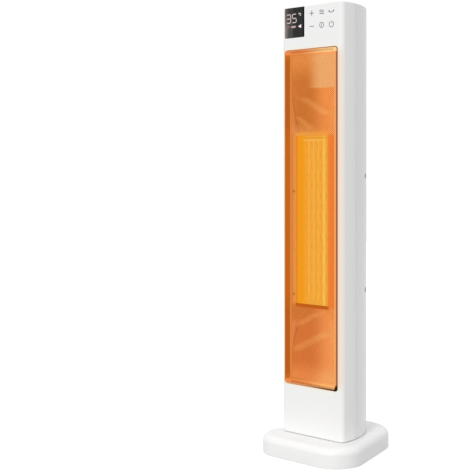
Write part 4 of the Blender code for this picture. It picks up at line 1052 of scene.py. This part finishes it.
def buildBaseCover():
    # One closed wall: up the outside, in over the dome to the hub, and back along the inside
    rise = base["height"] - base["wallHeight"]
    along, up = base["bottomEdge"]
    outer = [(along, base["lift"]), (0.0, base["lift"] + up)]
    outer += [(base["dome"] * a, base["wallHeight"] + rise * b) for a, b in base["shares"]]
    rings = ringsAt(basePlan, outer)
    innermost = basePlan(base["dome"] + base["hubEdge"])
    hub = []
    for x, y in innermost:
        size = math.hypot(x, y)
        hub.append((x / size * base["hub"], y / size * base["hub"]))
    for share in base["topShares"]:
        rings.append([(x + (hx - x) * share, y + (hy - y) * share, base["height"])
                      for (x, y), (hx, hy) in zip(innermost, hub)])
    rings.append([(x, y, base["height"] - base["wall"]) for x, y in hub])
    inner = [(base["dome"] * a + base["wall"], base["wallHeight"] + rise * b - base["wall"])
             for a, b in reversed(base["shares"][1::3])]
    inner += [(base["wall"], base["wallHeight"] - base["wall"]), (base["wall"], base["lift"])]
    rings += ringsAt(basePlan, inner)
    cover = smooth(skin("baseCover", rings, loop=True), base["shading"])
    fit(cover, "base", whiteBase, "white_plastic", "base_cover")


buildBaseCover()
print("base made")


# Mesh tray in the window
def buildTray():
    depth = frontY + tray["depth"]
    back = depth + tray["sheet"]
    rim = tray["rim"]
    inner = rim + tray["slope"]
    edge = inner + tray["border"]
    bend = tray["bend"]
    path = [(bend, frontY + 3 * bend), (2 * bend, frontY + bend), (rim, frontY),
            (rim + 2 * bend, frontY + bend), (inner - 3 * bend, depth - 2 * bend), (inner, depth - bend / 2),
            (inner + 4 * bend, depth), (edge, depth), (edge, back), (inner - 1.5 * bend, back),
            (rim - 3 * bend, frontY + tray["sheet"] + bend)]
    rings = [[(x, y, z) for x, z in windowOutline(inset)] for inset, y in path]
    sheet = skin("windowTray", rings, loop=True)
    cutTrayVents(sheet)
    fit(smooth(sheet), "tower", trayLook, "mesh_metal", "front_grille")
    buildMesh(edge, depth)


def cutTrayVents(sheet):
    # A row of small holes in the sloping wall, above and below
    count = int((2 * window["half"] - tray["ventMargin"]) / tray["ventPitch"])
    start = window["centre"] - (count - 1) * tray["ventPitch"] / 2
    half = tray["ventWidth"] / 2
    tall = tray["ventHeight"] / 2
    middle = tray["rim"] + tray["slope"] * tray["ventPlace"]
    for z in (windowLow + middle, windowHigh - middle):
        cell = brick("vents", (start - half, frontY, z - tall),
                     (start + half, frontY + tray["ventCut"], z + tall))
        useTree(cell, rowsTree, {"Columns": count, "Rows": 1, "Column Pitch": tray["ventPitch"]})
        cutBy(sheet, cell)


def buildMesh(edge, depth):
    # Two sheets of slanting strands, a hair apart, make the diamonds
    reach = edge - tray["meshInset"]
    half = tray["strand"] / 2
    values = {"Width": 2 * (window["half"] - reach), "Height": windowHigh - windowLow - 2 * reach,
              "Pitch": tray["pitch"], "Slope": tray["strandSlope"], "Centre": window["centre"],
              "Bottom": windowLow + reach, "Finish": meshLook}
    for name, lean, gap in zip(("meshStrandsRight", "meshStrandsLeft"), (1.0, -1.0), tray["meshGaps"]):
        unit = brick(name, (-half, depth + gap, 0), (half, depth + gap + tray["thick"], 1))
        fit(useTree(unit, strandTree, {**values, "Lean": lean}), "tower", meshLook, "mesh_metal")


buildTray()
print("window tray and mesh made")


# Heating element
def coreCut():
    return brick("core", (coreLeft, elementLow.y - past, coreBottom),
                 (coreRight, elementHigh.y + past, coreTop))


def buildHousing():
    low, high = elementLow, elementHigh
    front = low.y + element["sheet"]
    wall = element["wall"]
    outline = roundedBox((elementLeft, low.z), (high.x, high.z), element["corner"], 4)
    plate = slab("elementFrame", outline, "y", low.y, front)
    body = brick("elementBody", (coreLeft - wall, front, coreBottom - wall),
                 (coreRight + wall, high.y, coreTop + wall))
    for piece, segments in ((plate, 2), (body, 1)):
        cutBy(piece, coreCut())
        fit(soften(piece, element["edge"], segments), "tower", frameLook, "element", "heater_housing")
    buildCore(front)


def buildCore(front):
    # Folded fins between upright tubes
    gap = element["gap"]
    tubes = element["tubes"]
    back = front + element["finDepth"]
    fin = (coreRight - coreLeft - gap * (2 * tubes + 2) - tubes * element["tube"]) / (tubes + 1)
    pitch = fin + element["tube"] + 2 * gap
    low = coreBottom + gap
    rise = (coreTop - coreBottom - 2 * gap) / element["finRows"]
    half = element["finSheet"] / 2
    x = coreLeft + gap
    fold = []
    for start, end, foot in ((x, x + fin, low), (x + fin, x, low + rise / 2)):
        tip = foot + rise / 2
        outline = [(start, foot - half), (end, tip - half), (end, tip + half), (start, foot + half)]
        fold.append(slab("fold", outline, "y", front, back))
    fins = useTree(together("elementFins", fold), rowsTree, {
        "Columns": tubes + 1, "Rows": element["finRows"], "Column Pitch": pitch, "Row Pitch": rise,
        "Finish": finLook})
    fit(fins, "tower", finLook, "aluminium", *["heater_fins_%d" % (i + 1) for i in range(tubes + 1)])
    x += fin + gap
    tube = brick("elementTubes", (x, front, low), (x + element["tube"], back, coreTop - gap))
    useTree(soften(tube, element["tubeEdge"]), rowsTree, {
        "Columns": tubes, "Rows": 1, "Column Pitch": pitch, "Finish": tubeLook})
    fit(tube, "tower", tubeLook, "aluminium", *["heater_tube_%d" % (i + 1) for i in range(tubes)])


# Shares of a screw's sizes: its point, the crown of its head as radius and height, and its cross recess
screw = {"tip": 0.0002, "point": 0.7, "crown": ((1, 0.55), (0.86, 0.88), (0.5, 1)), "arm": 0.6, "slot": 0.13,
         "recess": 0.45, "steps": 20, "shading": 30}
frameScrew = {"sink": 0.0014, "shank": 0.0014, "head": 0.0013, "length": 0.0078}


def screwUnit(name, head, shank, headHeight, length):
    # Pan head towards +Z with a cross recess
    profile = [(screw["tip"], -length), (shank * screw["point"], -length + shank),
               (shank, -length + 2 * shank), (shank, 0), (head, 0)]
    profile += [(head * across, headHeight * up) for across, up in screw["crown"]]
    unit = lathe(name, profile, screw["steps"])
    arm = head * screw["arm"]
    thin = head * screw["slot"]
    deep = headHeight * screw["recess"]
    cutBy(unit, brick("slotA", (-arm, -thin, deep), (arm, thin, headHeight * 2)),
          brick("slotB", (-thin, -arm, deep), (thin, arm, headHeight * 2)))
    return smooth(unit, screw["shading"])


def buildHeaterScrews():
    names = ["heater_screw_upper", "heater_screw_lower"]
    low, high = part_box(names[0])
    head = (high.x - low.x) / 2
    spots = [((low.x + high.x) / 2, low.y + frameScrew["sink"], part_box(name)[0].z + head) for name in names]
    unit = screwUnit("screwUnit", head, frameScrew["shank"], frameScrew["head"], frameScrew["length"])
    screws = copies("elementScrews", unit, spots, screwLook, (math.pi / 2, 0, 0))
    fit(screws, "tower", screwLook, "steel", *names)


deflector = {"behindTray": 0.0098, "rim": 0.012, "right": 0.0385, "deep": 0.0030, "edge": 0.0004,
             "fold": 0.012, "lap": 0.0003, "reach": 0.005, "step": 0.0002, "foldStep": 0.0001,
             "bendEdge": 0.0003}


def buildDeflectors():
    for name, node, up in (("upperPlate", "upper_deflector", True), ("lowerPlate", "lower_deflector", False)):
        for piece in deflectorPieces(name, node, up):
            fit(piece, "tower", plateLook, "duct_metal", node)


def deflectorPieces(name, node, up):
    # A plate with a shallow channel, folded back over the element's frame
    size = deflector
    lap = size["lap"]
    frameLow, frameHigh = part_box("heater_frame")
    front, back = (corner.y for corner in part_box(node))
    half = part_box(node)[1].x
    left = elementLow.x
    right = size["right"]
    near = frameHigh.z - lap if up else frameLow.z + lap
    far = windowHigh - size["behindTray"] if up else windowLow + size["behindTray"]
    low, high = min(near, far), max(near, far)
    start, end = (low - past, high - size["rim"]) if up else (low + size["rim"], high + past)
    plate = brick(name, (-half, front, low), (half, back, high))
    cutBy(plate, brick("channel", (left, front - past, start), (right, back + past, end)))
    sheet = back - front
    step = front + size["step"]
    deep = size["deep"]
    bend = [(left - sheet, step), (left - sheet, back + deep), (right + sheet, back + deep),
            (right + sheet, step), (right, step), (right, front + deep), (left, front + deep), (left, step)]
    reach = size["reach"]
    trough = slab(name + "Channel", bend, "z", max(start - reach, low), min(end + reach, high))
    fold = brick(name + "Fold", (-half, front + size["foldStep"], near - (0 if up else sheet)),
                 (half, front + size["fold"], near + (sheet if up else 0)))
    return [soften(plate, size["edge"]), soften(trough, size["bendEdge"]), soften(fold, size["bendEdge"])]


buildHousing()
buildHeaterScrews()
buildDeflectors()
print("element made")


# Back of the tower: intake grille and filter
def notchInserts():
    # Dark inserts just under the surface of the notches
    steps = intake["notchSteps"]
    width = intake["notchTo"] - intake["notchFrom"]
    across = [intake["notchFrom"] + width * i / steps for i in range(steps + 1)]
    sink = intake["insertSink"]
    outline = [(x, rearWallY(x, sink)) for x in across]
    outline += [(x, rearWallY(x, sink + intake["insertThick"])) for x in reversed(across)]
    half = intake["notchHeight"] / 2
    inserts = []
    for z in intake["notches"]:
        for side in (-1, 1):
            shape = [(side * x, y) for x, y in outline]
            inserts.append(slab("insert", shape, "z", z - half, z + half))
    return together("notchInserts", inserts)


def rearWallY(x, inset):
    # How far back the casing's side is at a width, rear of its widest place
    line = [(px, py) for px, py in towerPlan(inset) if px > 0 and py > frontY + casing["taperStart"]]
    for (ax, ay), (bx, by) in zip(line, line[1:]):
        if bx <= x <= ax:
            return ay + (by - ay) * (ax - x) / (ax - bx)
    return line[0][1]


def buildIntake():
    low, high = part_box("rear_grille")
    wall = casing["wall"]
    panel = skin("intakeGrille", ringsAt(towerPlan, [(0, low.z), (0, high.z)]))
    cutBy(panel, skin("hollow", ringsAt(towerPlan, [(wall, low.z - past), (wall, high.z + past)])),
          brick("ahead", (-farSide, frontY - past, 0), (farSide, 0, topZ)),
          brick("leftOf", (-farSide, -past, 0), (low.x, rearY + past, topZ)),
          brick("rightOf", (high.x, -past, 0), (farSide, rearY + past, topZ)))
    step = intake["slot"] + intake["rib"]
    tall = intake["slotHeight"]
    start = -(intake["columns"] * step - intake["rib"]) / 2
    bottom = (low.z + high.z - (intake["rows"] - 1) * intake["pitch"] - tall) / 2
    slots = brick("slots", (start, intake["slotFrom"], bottom),
                  (start + intake["slot"], rearY + past, bottom + tall))
    useTree(slots, rowsTree, {"Columns": intake["columns"], "Rows": intake["rows"], "Column Pitch": step,
                              "Row Pitch": intake["pitch"]})
    cutBy(panel, slots, *notchBlocks())
    soften(panel, intake["edge"], 1)
    fit(panel, "tower", rearCase, "shell_grey", "rear_grille")
    fit(faceOut(notchInserts()), "tower", blackPlastic, "black_plastic")


weave = {"threads": 5200.0, "between": (0.030, 0.031, 0.033), "thread": (0.13, 0.13, 0.135),
         "dust": (0.20, 0.19, 0.18, 0.25), "dustScale": 90.0, "dustRange": (0.35, 0.75), "rough": 0.75,
         "raised": (-0.7, 0.7), "bump": 0.5, "depth": 0.0002}


def makeWeave():
    # Woven filter: two crossed waves lift and lighten the threads
    look, tree, shader = newLook("filterWeave")
    where, (x, y, z) = places(tree)
    crossed = maths("SINE", x * weave["threads"]) * maths("SINE", z * weave["threads"])
    raised = ramp(crossed, *weave["raised"])
    dust = ramp(noise(where, weave["dustScale"], 3.0), *weave["dustRange"])
    tone = layered(weave["between"], (raised, weave["thread"]), (dust, weave["dust"]))
    setInputs(shader, {"Base Color": tone, "Roughness": weave["rough"]})
    addBump(shader, raised, weave["bump"], weave["depth"])
    return look


buildIntake()
print("intake made")


# Flat print
flatPrint = {"lift": 0.00003, "thick": 0.00006}


class Ink:
    # Flat strokes gathered into one thin closed mesh
    def __init__(self):
        self.points = []
        self.faces = []

    def stroke(self, line, width, loop=False):
        count = len(line)
        start = len(self.points)
        for i, (x, z) in enumerate(line):
            before = line[i - 1] if i or loop else line[0]
            after = line[(i + 1) % count] if i < count - 1 or loop else line[-1]
            along = Vector((after[0] - before[0], after[1] - before[1])).normalized()
            nx, nz = -along.y * width / 2, along.x * width / 2
            for y in (0, 1):
                self.points += [(x + nx, y, z + nz), (x - nx, y, z - nz)]
        for i in range(count if loop else count - 1):
            a = start + 4 * i
            b = start + 4 * ((i + 1) % count)
            self.faces += [(a, a + 1, b + 1, b), (a + 2, b + 2, b + 3, a + 3), (a, b, b + 2, a + 2),
                           (a + 1, a + 3, b + 3, b + 1)]
        if not loop:
            last = start + 4 * (count - 1)
            self.faces += [(start, start + 2, start + 3, start + 1), (last, last + 1, last + 3, last + 2)]

    def patch(self, outline):
        start = len(self.points)
        count = len(outline)
        self.points += [(x, 0, z) for x, z in outline] + [(x, 1, z) for x, z in outline]
        self.faces.append(tuple(range(start, start + count)))
        self.faces.append(tuple(range(start + 2 * count - 1, start + count - 1, -1)))
        for i in range(count):
            j = (i + 1) % count
            self.faces.append((start + i, start + count + i, start + count + j, start + j))

    def piece(self, name, y, thick):
        points = [(x, y + thick * t, z) for x, t, z in self.points]
        return faceOut(addMesh(name, points, self.faces))


def arc(x, z, radius, start, end, steps=20):
    turns = [math.radians(start + (end - start) * i / steps) for i in range(steps + 1)]
    return [(x + radius * math.cos(t), z + radius * math.sin(t)) for t in turns]


# Mains switch, inlet, feet and screws
trim = {"rockerTilt": 12, "rockerSink": 0.0025, "crest": 0.0032, "dip": 0.002, "halfHeight": 0.006,
        "rockerEdge": 0.0005, "housingEdge": 0.0006, "glandEdge": 0.0009, "signSize": 0.0011,
        "signLine": 0.00042, "signThick": 0.00007, "footEdge": 0.0007, "footTip": 0.0003, "footSteps": 32,
        "footDimple": (0.42, 0.46), "footRound": 0.3, "screwHead": 0.0014, "screwShank": 0.0013,
        "mergeWithin": 0.000002, "flatWithin": 0.02}


def refined(name, node, width):
    # The CAD node's own form, merged and with its edges rounded
    place = nodes[node].matrix_world
    mesh = bmesh.new()
    mesh.from_mesh(nodes[node].data)
    bmesh.ops.remove_doubles(mesh, verts=mesh.verts, dist=trim["mergeWithin"])
    bmesh.ops.dissolve_limit(mesh, angle_limit=trim["flatWithin"], verts=mesh.verts, edges=mesh.edges)
    mesh.verts.index_update()
    points = [tuple(place @ vert.co) for vert in mesh.verts]
    faces = [tuple(vert.index for vert in face.verts) for face in mesh.faces]
    mesh.free()
    return soften(faceOut(addMesh(name, points, faces)), width, 3)


def rockerSigns():
    # I and O, each laid on its half of the rocker
    back = rearY - trim["rockerSink"]
    middle = sum(corner.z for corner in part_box("switch_housing")) / 2
    tilt = Matrix.Rotation(math.radians(trim["rockerTilt"]), 4, "X")
    lean = math.atan2(trim["crest"] - trim["dip"], trim["halfHeight"])
    size = trim["signSize"]
    line = trim["signLine"]
    signs = []
    for side in (-1, 1):
        ink = Ink()
        if side > 0:
            ink.stroke([(0, -size), (0, size)], line)
        else:
            ink.stroke(arc(0, 0, size, 0, 360, 24)[:-1], line, loop=True)
        sign = ink.piece("sign", -flatPrint["lift"], trim["signThick"])
        place = Matrix.Translation((0, (trim["crest"] + trim["dip"]) / 2, side * trim["halfHeight"] / 2))
        flat = Matrix.Rotation(-side * lean, 4, "X")
        sign.data.transform(Matrix.Translation((0, back, middle)) @ tilt @ place @ flat)
        signs.append(sign)
    return together("rockerSigns", signs)


signInk = plastic("signInk", (0.72, 0.72, 0.72), 0.5, grain=2200.0)


def buildSwitch():
    fit(refined("switchFrame", "switch_housing", trim["housingEdge"]), "tower", blackPlastic, "black_plastic",
        "switch_housing")
    fit(refined("rockerKey", "power_rocker", trim["rockerEdge"]), "rocker", blackPlastic, "black_plastic",
        "power_rocker")
    fit(rockerSigns(), "rocker", signInk, "black_plastic")


def buildFeet():
    names = ["foot_front_left", "foot_front_right", "foot_rear_left", "foot_rear_right"]
    boxes = [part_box(name) for name in names]
    radius = (boxes[0][1].x - boxes[0][0].x) / 2
    edge = trim["footEdge"]
    dimple, rim = (radius * share for share in trim["footDimple"])
    bend = edge * trim["footRound"]
    profile = [(trim["footTip"], edge), (dimple, edge), (rim, 0.0), (radius - edge, 0.0),
               (radius - bend, bend), (radius, edge), (radius, boxes[0][1].z)]
    unit = smooth(lathe("footUnit", profile, trim["footSteps"]))
    spots = [((low.x + high.x) / 2, (low.y + high.y) / 2, 0) for low, high in boxes]
    fit(copies("rubberFeet", unit, spots, blackRubber), "base", blackRubber, "rubber", *names)


def buildScrews(name, body, names):
    boxes = [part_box(node) for node in names]
    low, high = boxes[0]
    head = trim["screwHead"]
    unit = screwUnit(name + "Unit", (high.x - low.x) / 2, trim["screwShank"], head, high.z - low.z - head)
    spots = [((a.x + b.x) / 2, (a.y + b.y) / 2, a.z + head) for a, b in boxes]
    fit(copies(name, unit, spots, steel, (math.pi, 0, 0)), body, steel, "steel", *names)


buildSwitch()
gland = refined("inletGland", "cord_gland", trim["glandEdge"])
fit(gland, "base", blackRubber, "black_plastic", "cord_gland")
buildFeet()
buildScrews("baseScrews", "base", ["base_screw_left", "base_screw_right", "base_screw_rear"])
buildScrews("shellScrews", "tower", ["shell_screw_left", "shell_screw_right"])
print("small parts made")


# Display and key print
digits = {"left": 0.0043, "top": 0.0107, "height": 0.0131, "width": 0.0080, "step": 0.0115, "stroke": 0.0014,
          "gap": 0.0003, "shown": "35"}
bars = {"3": "abgcd", "5": "afgcd"}


def drawDigit(ink, sign, left, top):
    wide = digits["width"]
    tall = digits["height"] / 2
    half = digits["stroke"] / 2
    spots = {"a": (0, 0), "g": (0, -tall), "d": (0, -2 * tall), "f": (0, 0), "b": (wide, 0),
             "c": (wide, -tall)}
    near = half + digits["gap"]
    for bar in bars[sign]:
        x, z = left + spots[bar][0], top + spots[bar][1]
        if bar in "agd":
            start, end = x + near, x + wide - near
            ink.patch([(start - half, z), (start, z + half), (end, z + half), (end + half, z),
                       (end, z - half), (start, z - half)])
        else:
            start, end = z - near, z - tall + near
            ink.patch([(x, start + half), (x + half, start), (x + half, end), (x, end - half),
                       (x - half, end), (x - half, start)])


# Places on the display, from its left edge and down from its top
marks = {"arrow": ((0.0278, 0.0305), (0.0340, 0.0276), (0.0340, 0.0334)),
         "degree": (0.0298, 0.0104), "degreeSize": 0.0008, "degreeLine": 0.0006,
         "bow": (0.0330, 0.0120), "bowSize": 0.0015, "bowFrom": 55, "bowTo": 305, "bowLine": 0.0008,
         "pill": ((0.0134, 0.0320), (0.0228, 0.0290)), "pillCorner": 0.0010,
         "dashes": (0.0056, 0.0075, 0.0094), "dashTop": 0.0278, "dashBottom": 0.0316, "dashLine": 0.0007}


def onDisplay(place):
    return lensLeft + place[0], lensTop - place[1]


def drawDigits(ink):
    for i, sign in enumerate(digits["shown"]):
        left, top = onDisplay((digits["left"] + i * digits["step"], digits["top"]))
        drawDigit(ink, sign, left, top)


def drawSigns(ink):
    ink.patch([onDisplay(place) for place in marks["arrow"]])
    ring = arc(*onDisplay(marks["degree"]), marks["degreeSize"], 0, 360, 10)[:-1]
    ink.stroke(ring, marks["degreeLine"], loop=True)
    bow = arc(*onDisplay(marks["bow"]), marks["bowSize"], marks["bowFrom"], marks["bowTo"], 10)
    ink.stroke(bow, marks["bowLine"])


def drawPill(ink):
    low, high = (onDisplay(place) for place in marks["pill"])
    ink.patch(roundedBox(low, high, marks["pillCorner"], 4))


def drawDashes(ink):
    for x in marks["dashes"]:
        ink.stroke([onDisplay((x, marks["dashTop"])), onDisplay((x, marks["dashBottom"]))], marks["dashLine"])


def buildDisplay():
    front = frontY + lens["sink"]
    glass = slab("displayGlass", lensOutline(lens["fit"]), "y", front, frontY + lens["back"])
    fit(soften(glass, lens["edge"], 3), "tower", makeGlass(), "lens", "display_lens")
    for name, draw, lookName, colour in (
            ("displayLit", drawDigits, "litSegments", (0.70, 0.57, 0.56)),
            ("displaySigns", drawSigns, "litSigns", (1.0, 0.90, 0.90)),
            ("displayTimer", drawPill, "litPill", (0.52, 0.32, 0.32)),
            ("displayFaint", drawDashes, "litFaint", (0.30, 0.15, 0.16))):
        ink = Ink()
        draw(ink)
        piece = ink.piece(name, front - flatPrint["lift"], flatPrint["thick"])
        fit(piece, "tower", litLook(lookName, colour), "lens")


# Ramps across from the display's left edge, down from the casing's top, and linear colours
glassLook = {"tone": (0.004, 0.004, 0.004), "smearScale": 60.0, "rough": (0.05, 0.14), "shine": 0.30,
             "seam": (-0.0032, -0.0026), "paintedReflection": (0.019, 0.0145), "paintedReflectionTone": (0.045, 0.038, 0.033),
             "edge": (0.0095, 0.0005), "edgeTone": (0.20, 0.165, 0.150), "down": (0.004, 0.042),
             "downRange": (0.5, 1.15), "smearRange": (0.85, 1.15), "roughFrom": (0.3, 0.8),
             "smearFrom": (0.2, 0.8)}


def makeGlass():
    # Black glass: a painted pale reflection at the left edge, stronger lower down and varied by the smear
    # noise, and a dark seam along the right edge
    look, tree, shader = newLook("displayBlack")
    where, (x, y, z) = places(tree)
    glass = glassLook
    smear = noise(where, glass["smearScale"], 3.0)
    seam = ramp(x, *about(lensLeft + lens["width"], glass["seam"]), 1, 0)
    paintedReflection = layered((0.0, 0.0, 0.0), (ramp(x, *about(lensLeft, glass["paintedReflection"])), glass["paintedReflectionTone"]),
                   (ramp(x, *about(lensLeft, glass["edge"])), glass["edgeTone"]))
    fade = ramp(topZ - z, *glass["down"], *glass["downRange"])
    setInputs(shader, {
        "Base Color": glass["tone"], "Roughness": ramp(smear, *glass["roughFrom"], *glass["rough"]),
        "Specular IOR Level": seam * glass["shine"], "Emission Color": paintedReflection,
        "Emission Strength": fade * ramp(smear, *glass["smearFrom"], *glass["smearRange"])})
    return look


litDye = {"patchScale": 420.0, "patchRange": (0.2, 0.8), "dull": 0.86, "base": (0.05, 0.04, 0.04)}


def litLook(name, colour):
    look, tree, shader = newLook(name)
    where, _ = places(tree)
    patch = ramp(noise(where, litDye["patchScale"], 1.0), *litDye["patchRange"])
    dull = tuple(litDye["dull"] * part for part in colour)
    setInputs(shader, {"Base Color": litDye["base"], "Emission Color": blend(patch, dull, colour),
                       "Emission Strength": 1.0})
    return look


keys = {"columns": (0.0007, 0.0206, 0.0397), "top": 0.0129, "bottom": 0.0333, "size": 0.0043, "line": 0.00105,
        "ink": (0.075, 0.075, 0.078), "waveGap": 0.0026, "waveHeight": 0.0006, "waveSteps": 12,
        "bowRise": 0.0042, "bowSize": 0.0062, "bowFrom": 227, "bowTo": 313,
        "arrow": ((-0.0016, 0.0006), (0.0012, 0.0022), (0.0008, -0.0012)),
        "clockRise": 0.0006, "clockShare": 0.94, "hands": ((0, 0.0022), (0, 0), (-0.0016, -0.0012)),
        "powerFrom": 118, "powerTo": 422, "stem": (0.0014, 0.0051)}


def drawWaves(ink, x, z):
    size = keys["size"]
    steps = keys["waveSteps"]
    for level in (-1, 0, 1):
        wave = [(x - size + 2 * size * i / steps,
                 z + level * keys["waveGap"] + keys["waveHeight"] * math.sin(i / steps * 2 * math.pi))
                for i in range(steps + 1)]
        ink.stroke(wave, keys["line"])


def drawSwing(ink, x, z):
    # A swing arc with an arrow at each end
    bow = arc(x, z + keys["bowRise"], keys["bowSize"], keys["bowFrom"], keys["bowTo"], 14)
    ink.stroke(bow, keys["line"])
    for (endX, endZ), side in ((bow[0], -1), (bow[-1], 1)):
        ink.patch([(endX + side * across, endZ + up) for across, up in keys["arrow"]])


def drawClock(ink, x, z):
    z += keys["clockRise"]
    ink.stroke(arc(x, z, keys["clockShare"] * keys["size"], 0, 360, 32)[:-1], keys["line"], loop=True)
    ink.stroke([(x + across, z + up) for across, up in keys["hands"]], keys["line"])


def buildKeyPrint():
    size = keys["size"]
    line = keys["line"]
    first, second, third = keys["columns"]
    top = topZ - keys["top"]
    bottom = topZ - keys["bottom"]
    ink = Ink()
    ink.stroke([(first - size, top), (first + size, top)], line)
    ink.stroke([(first, top - size), (first, top + size)], line)
    ink.stroke([(first - size, bottom), (first + size, bottom)], line)
    drawWaves(ink, second, top)
    drawSwing(ink, third, top)
    drawClock(ink, second, bottom)
    ink.stroke(arc(third, bottom, size, keys["powerFrom"], keys["powerTo"], 28), line)
    ink.stroke([(third, bottom + up) for up in keys["stem"]], line)
    piece = ink.piece("keyPrint", frontY - flatPrint["lift"], flatPrint["thick"])
    fit(piece, "tower", plastic("greyInk", keys["ink"], 0.6, grain=2200.0), "white_plastic")


buildDisplay()
buildKeyPrint()
print("display made")

# CAD nodes that stay, with their finishes
kept = {
    whiteCase: ["tower_floor"],
    plateLook: ["heater_frame", "duct_top_plate", "duct_bottom_plate"],
    ductSheet: ["duct_scroll", "duct_tongue"],
    steel: ["swing_motor", "fan_shaft", "motor_rotor", "motor_stator", "motor_bracket", "tip_switch_spring"],
    blackRubber: ["upper_bearing"],
    blackPlastic: ["base_plate", "tip_switch_body", "thermal_cutout", "fan_wheel", "display_module"],
    acetal: ["glide_ring", "swing_pinion", "sector_gear", "tip_switch_plunger"],
    makeWeave(): ["dust_filter"],
    metal("copperWire", (0.70, 0.33, 0.16), (0.40, 0.16, 0.07), 0.35): ["motor_coil"],
    plastic("boardGreen", (0.04, 0.20, 0.10), 0.4, drift=0.2, grain=600.0): ["control_board", "power_board"],
}
for look, names in kept.items():
    for name in names:
        for slot in nodes[name].material_slots:
            slot.material = look

setCamera()
setLight()
setFloor()
bpy.context.scene.view_settings.view_transform = "Standard"
print("scene ready")
